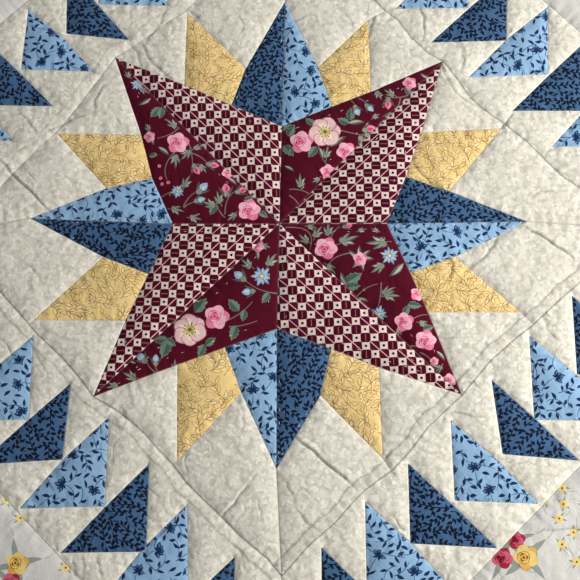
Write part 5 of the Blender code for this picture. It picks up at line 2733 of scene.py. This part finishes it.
@dataclass
class Studio:
    """Floor, light and camera."""

    lamps: tuple[Lamp, ...] = (
        Lamp("window", (0.88, -0.05, 0.42), 0.40, 11.2, (1.0, 0.98, 0.945)),
        Lamp("fill", (0.50, 0.12, 1.05), 0.9, 5.0, (0.96, 0.975, 1.0)),
    )
    air_colour: tuple[float, ...] = (0.93, 0.96, 1.0, 1.0)
    air_strength: float = 0.22
    floor_colour: tuple[float, ...] = (0.72, 0.71, 0.69, 1.0)
    floor_side: float = 6.0
    floor_depth: float = 0.0005
    focal_mm: float = 86.9
    sensor_mm: float = 36.0
    place: tuple[float, float, float] = (0.0068, -0.2968, 0.8255)
    right: tuple[float, float, float] = (1.0, 0.0061, 0.002)
    up: tuple[float, float, float] = (-0.0064, 0.9558, 0.2939)

    def build(self) -> None:
        """Sets up everything around the quilt."""
        self._floor()
        self._camera()
        for lamp in self.lamps:
            lamp.build()
        world = bpy.data.worlds.new("studio")
        world.use_nodes = True
        world.node_tree.nodes["Background"].inputs["Color"].default_value = self.air_colour
        world.node_tree.nodes["Background"].inputs["Strength"].default_value = self.air_strength
        bpy.context.scene.world = world
        bpy.context.scene.view_settings.view_transform = "Standard"

    def _floor(self) -> None:
        """Lays a plain pale floor under the quilt."""
        bpy.ops.mesh.primitive_plane_add(size=self.floor_side, location=(0.0, 0.0, 0.0))
        floor = bpy.context.object
        floor.name = "floor"
        floor.location = (0.0, 0.0, -self.floor_depth)
        material = bpy.data.materials.new("pale_floor")
        material.use_nodes = True
        shader = material.node_tree.nodes["Principled BSDF"]
        shader.inputs["Base Color"].default_value = self.floor_colour
        shader.inputs["Roughness"].default_value = 0.9
        floor.data.materials.append(material)

    def _camera(self) -> None:
        """Places the camera at the photograph's angle."""
        data = bpy.data.cameras.new("camera")
        data.sensor_width = self.sensor_mm
        data.lens = self.focal_mm
        camera = bpy.data.objects.new("camera", data)
        right = Vector(self.right).normalized()
        back = right.cross(Vector(self.up)).normalized()
        turn = Matrix((right, back.cross(right), back)).transposed()
        camera.matrix_world = Matrix.Translation(self.place) @ turn.to_4x4()
        bpy.context.scene.collection.objects.link(camera)
        bpy.context.scene.camera = camera


def main() -> None:
    """Builds the dressed quilt and declares its pieces."""
    logging.basicConfig(level=logging.INFO, format="%(message)s")
    Studio().build()
    layout = Layout().build()
    LOG.info("%d patches, %d seams", len(layout.patches), len(layout.seams()))
    relief = Relief(layout)
    LOG.info("relief from %.2f to %.2f mm", relief.height.min(), relief.height.max())
    top = PiecedTop(layout, relief).build()
    stitches = Quilting(layout, relief).build()
    body = Padding(relief).build()
    for piece in (*top.objects, stitches, body):
        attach(piece, "root")
        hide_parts("quilt")


if __name__ == "__main__":
    main()
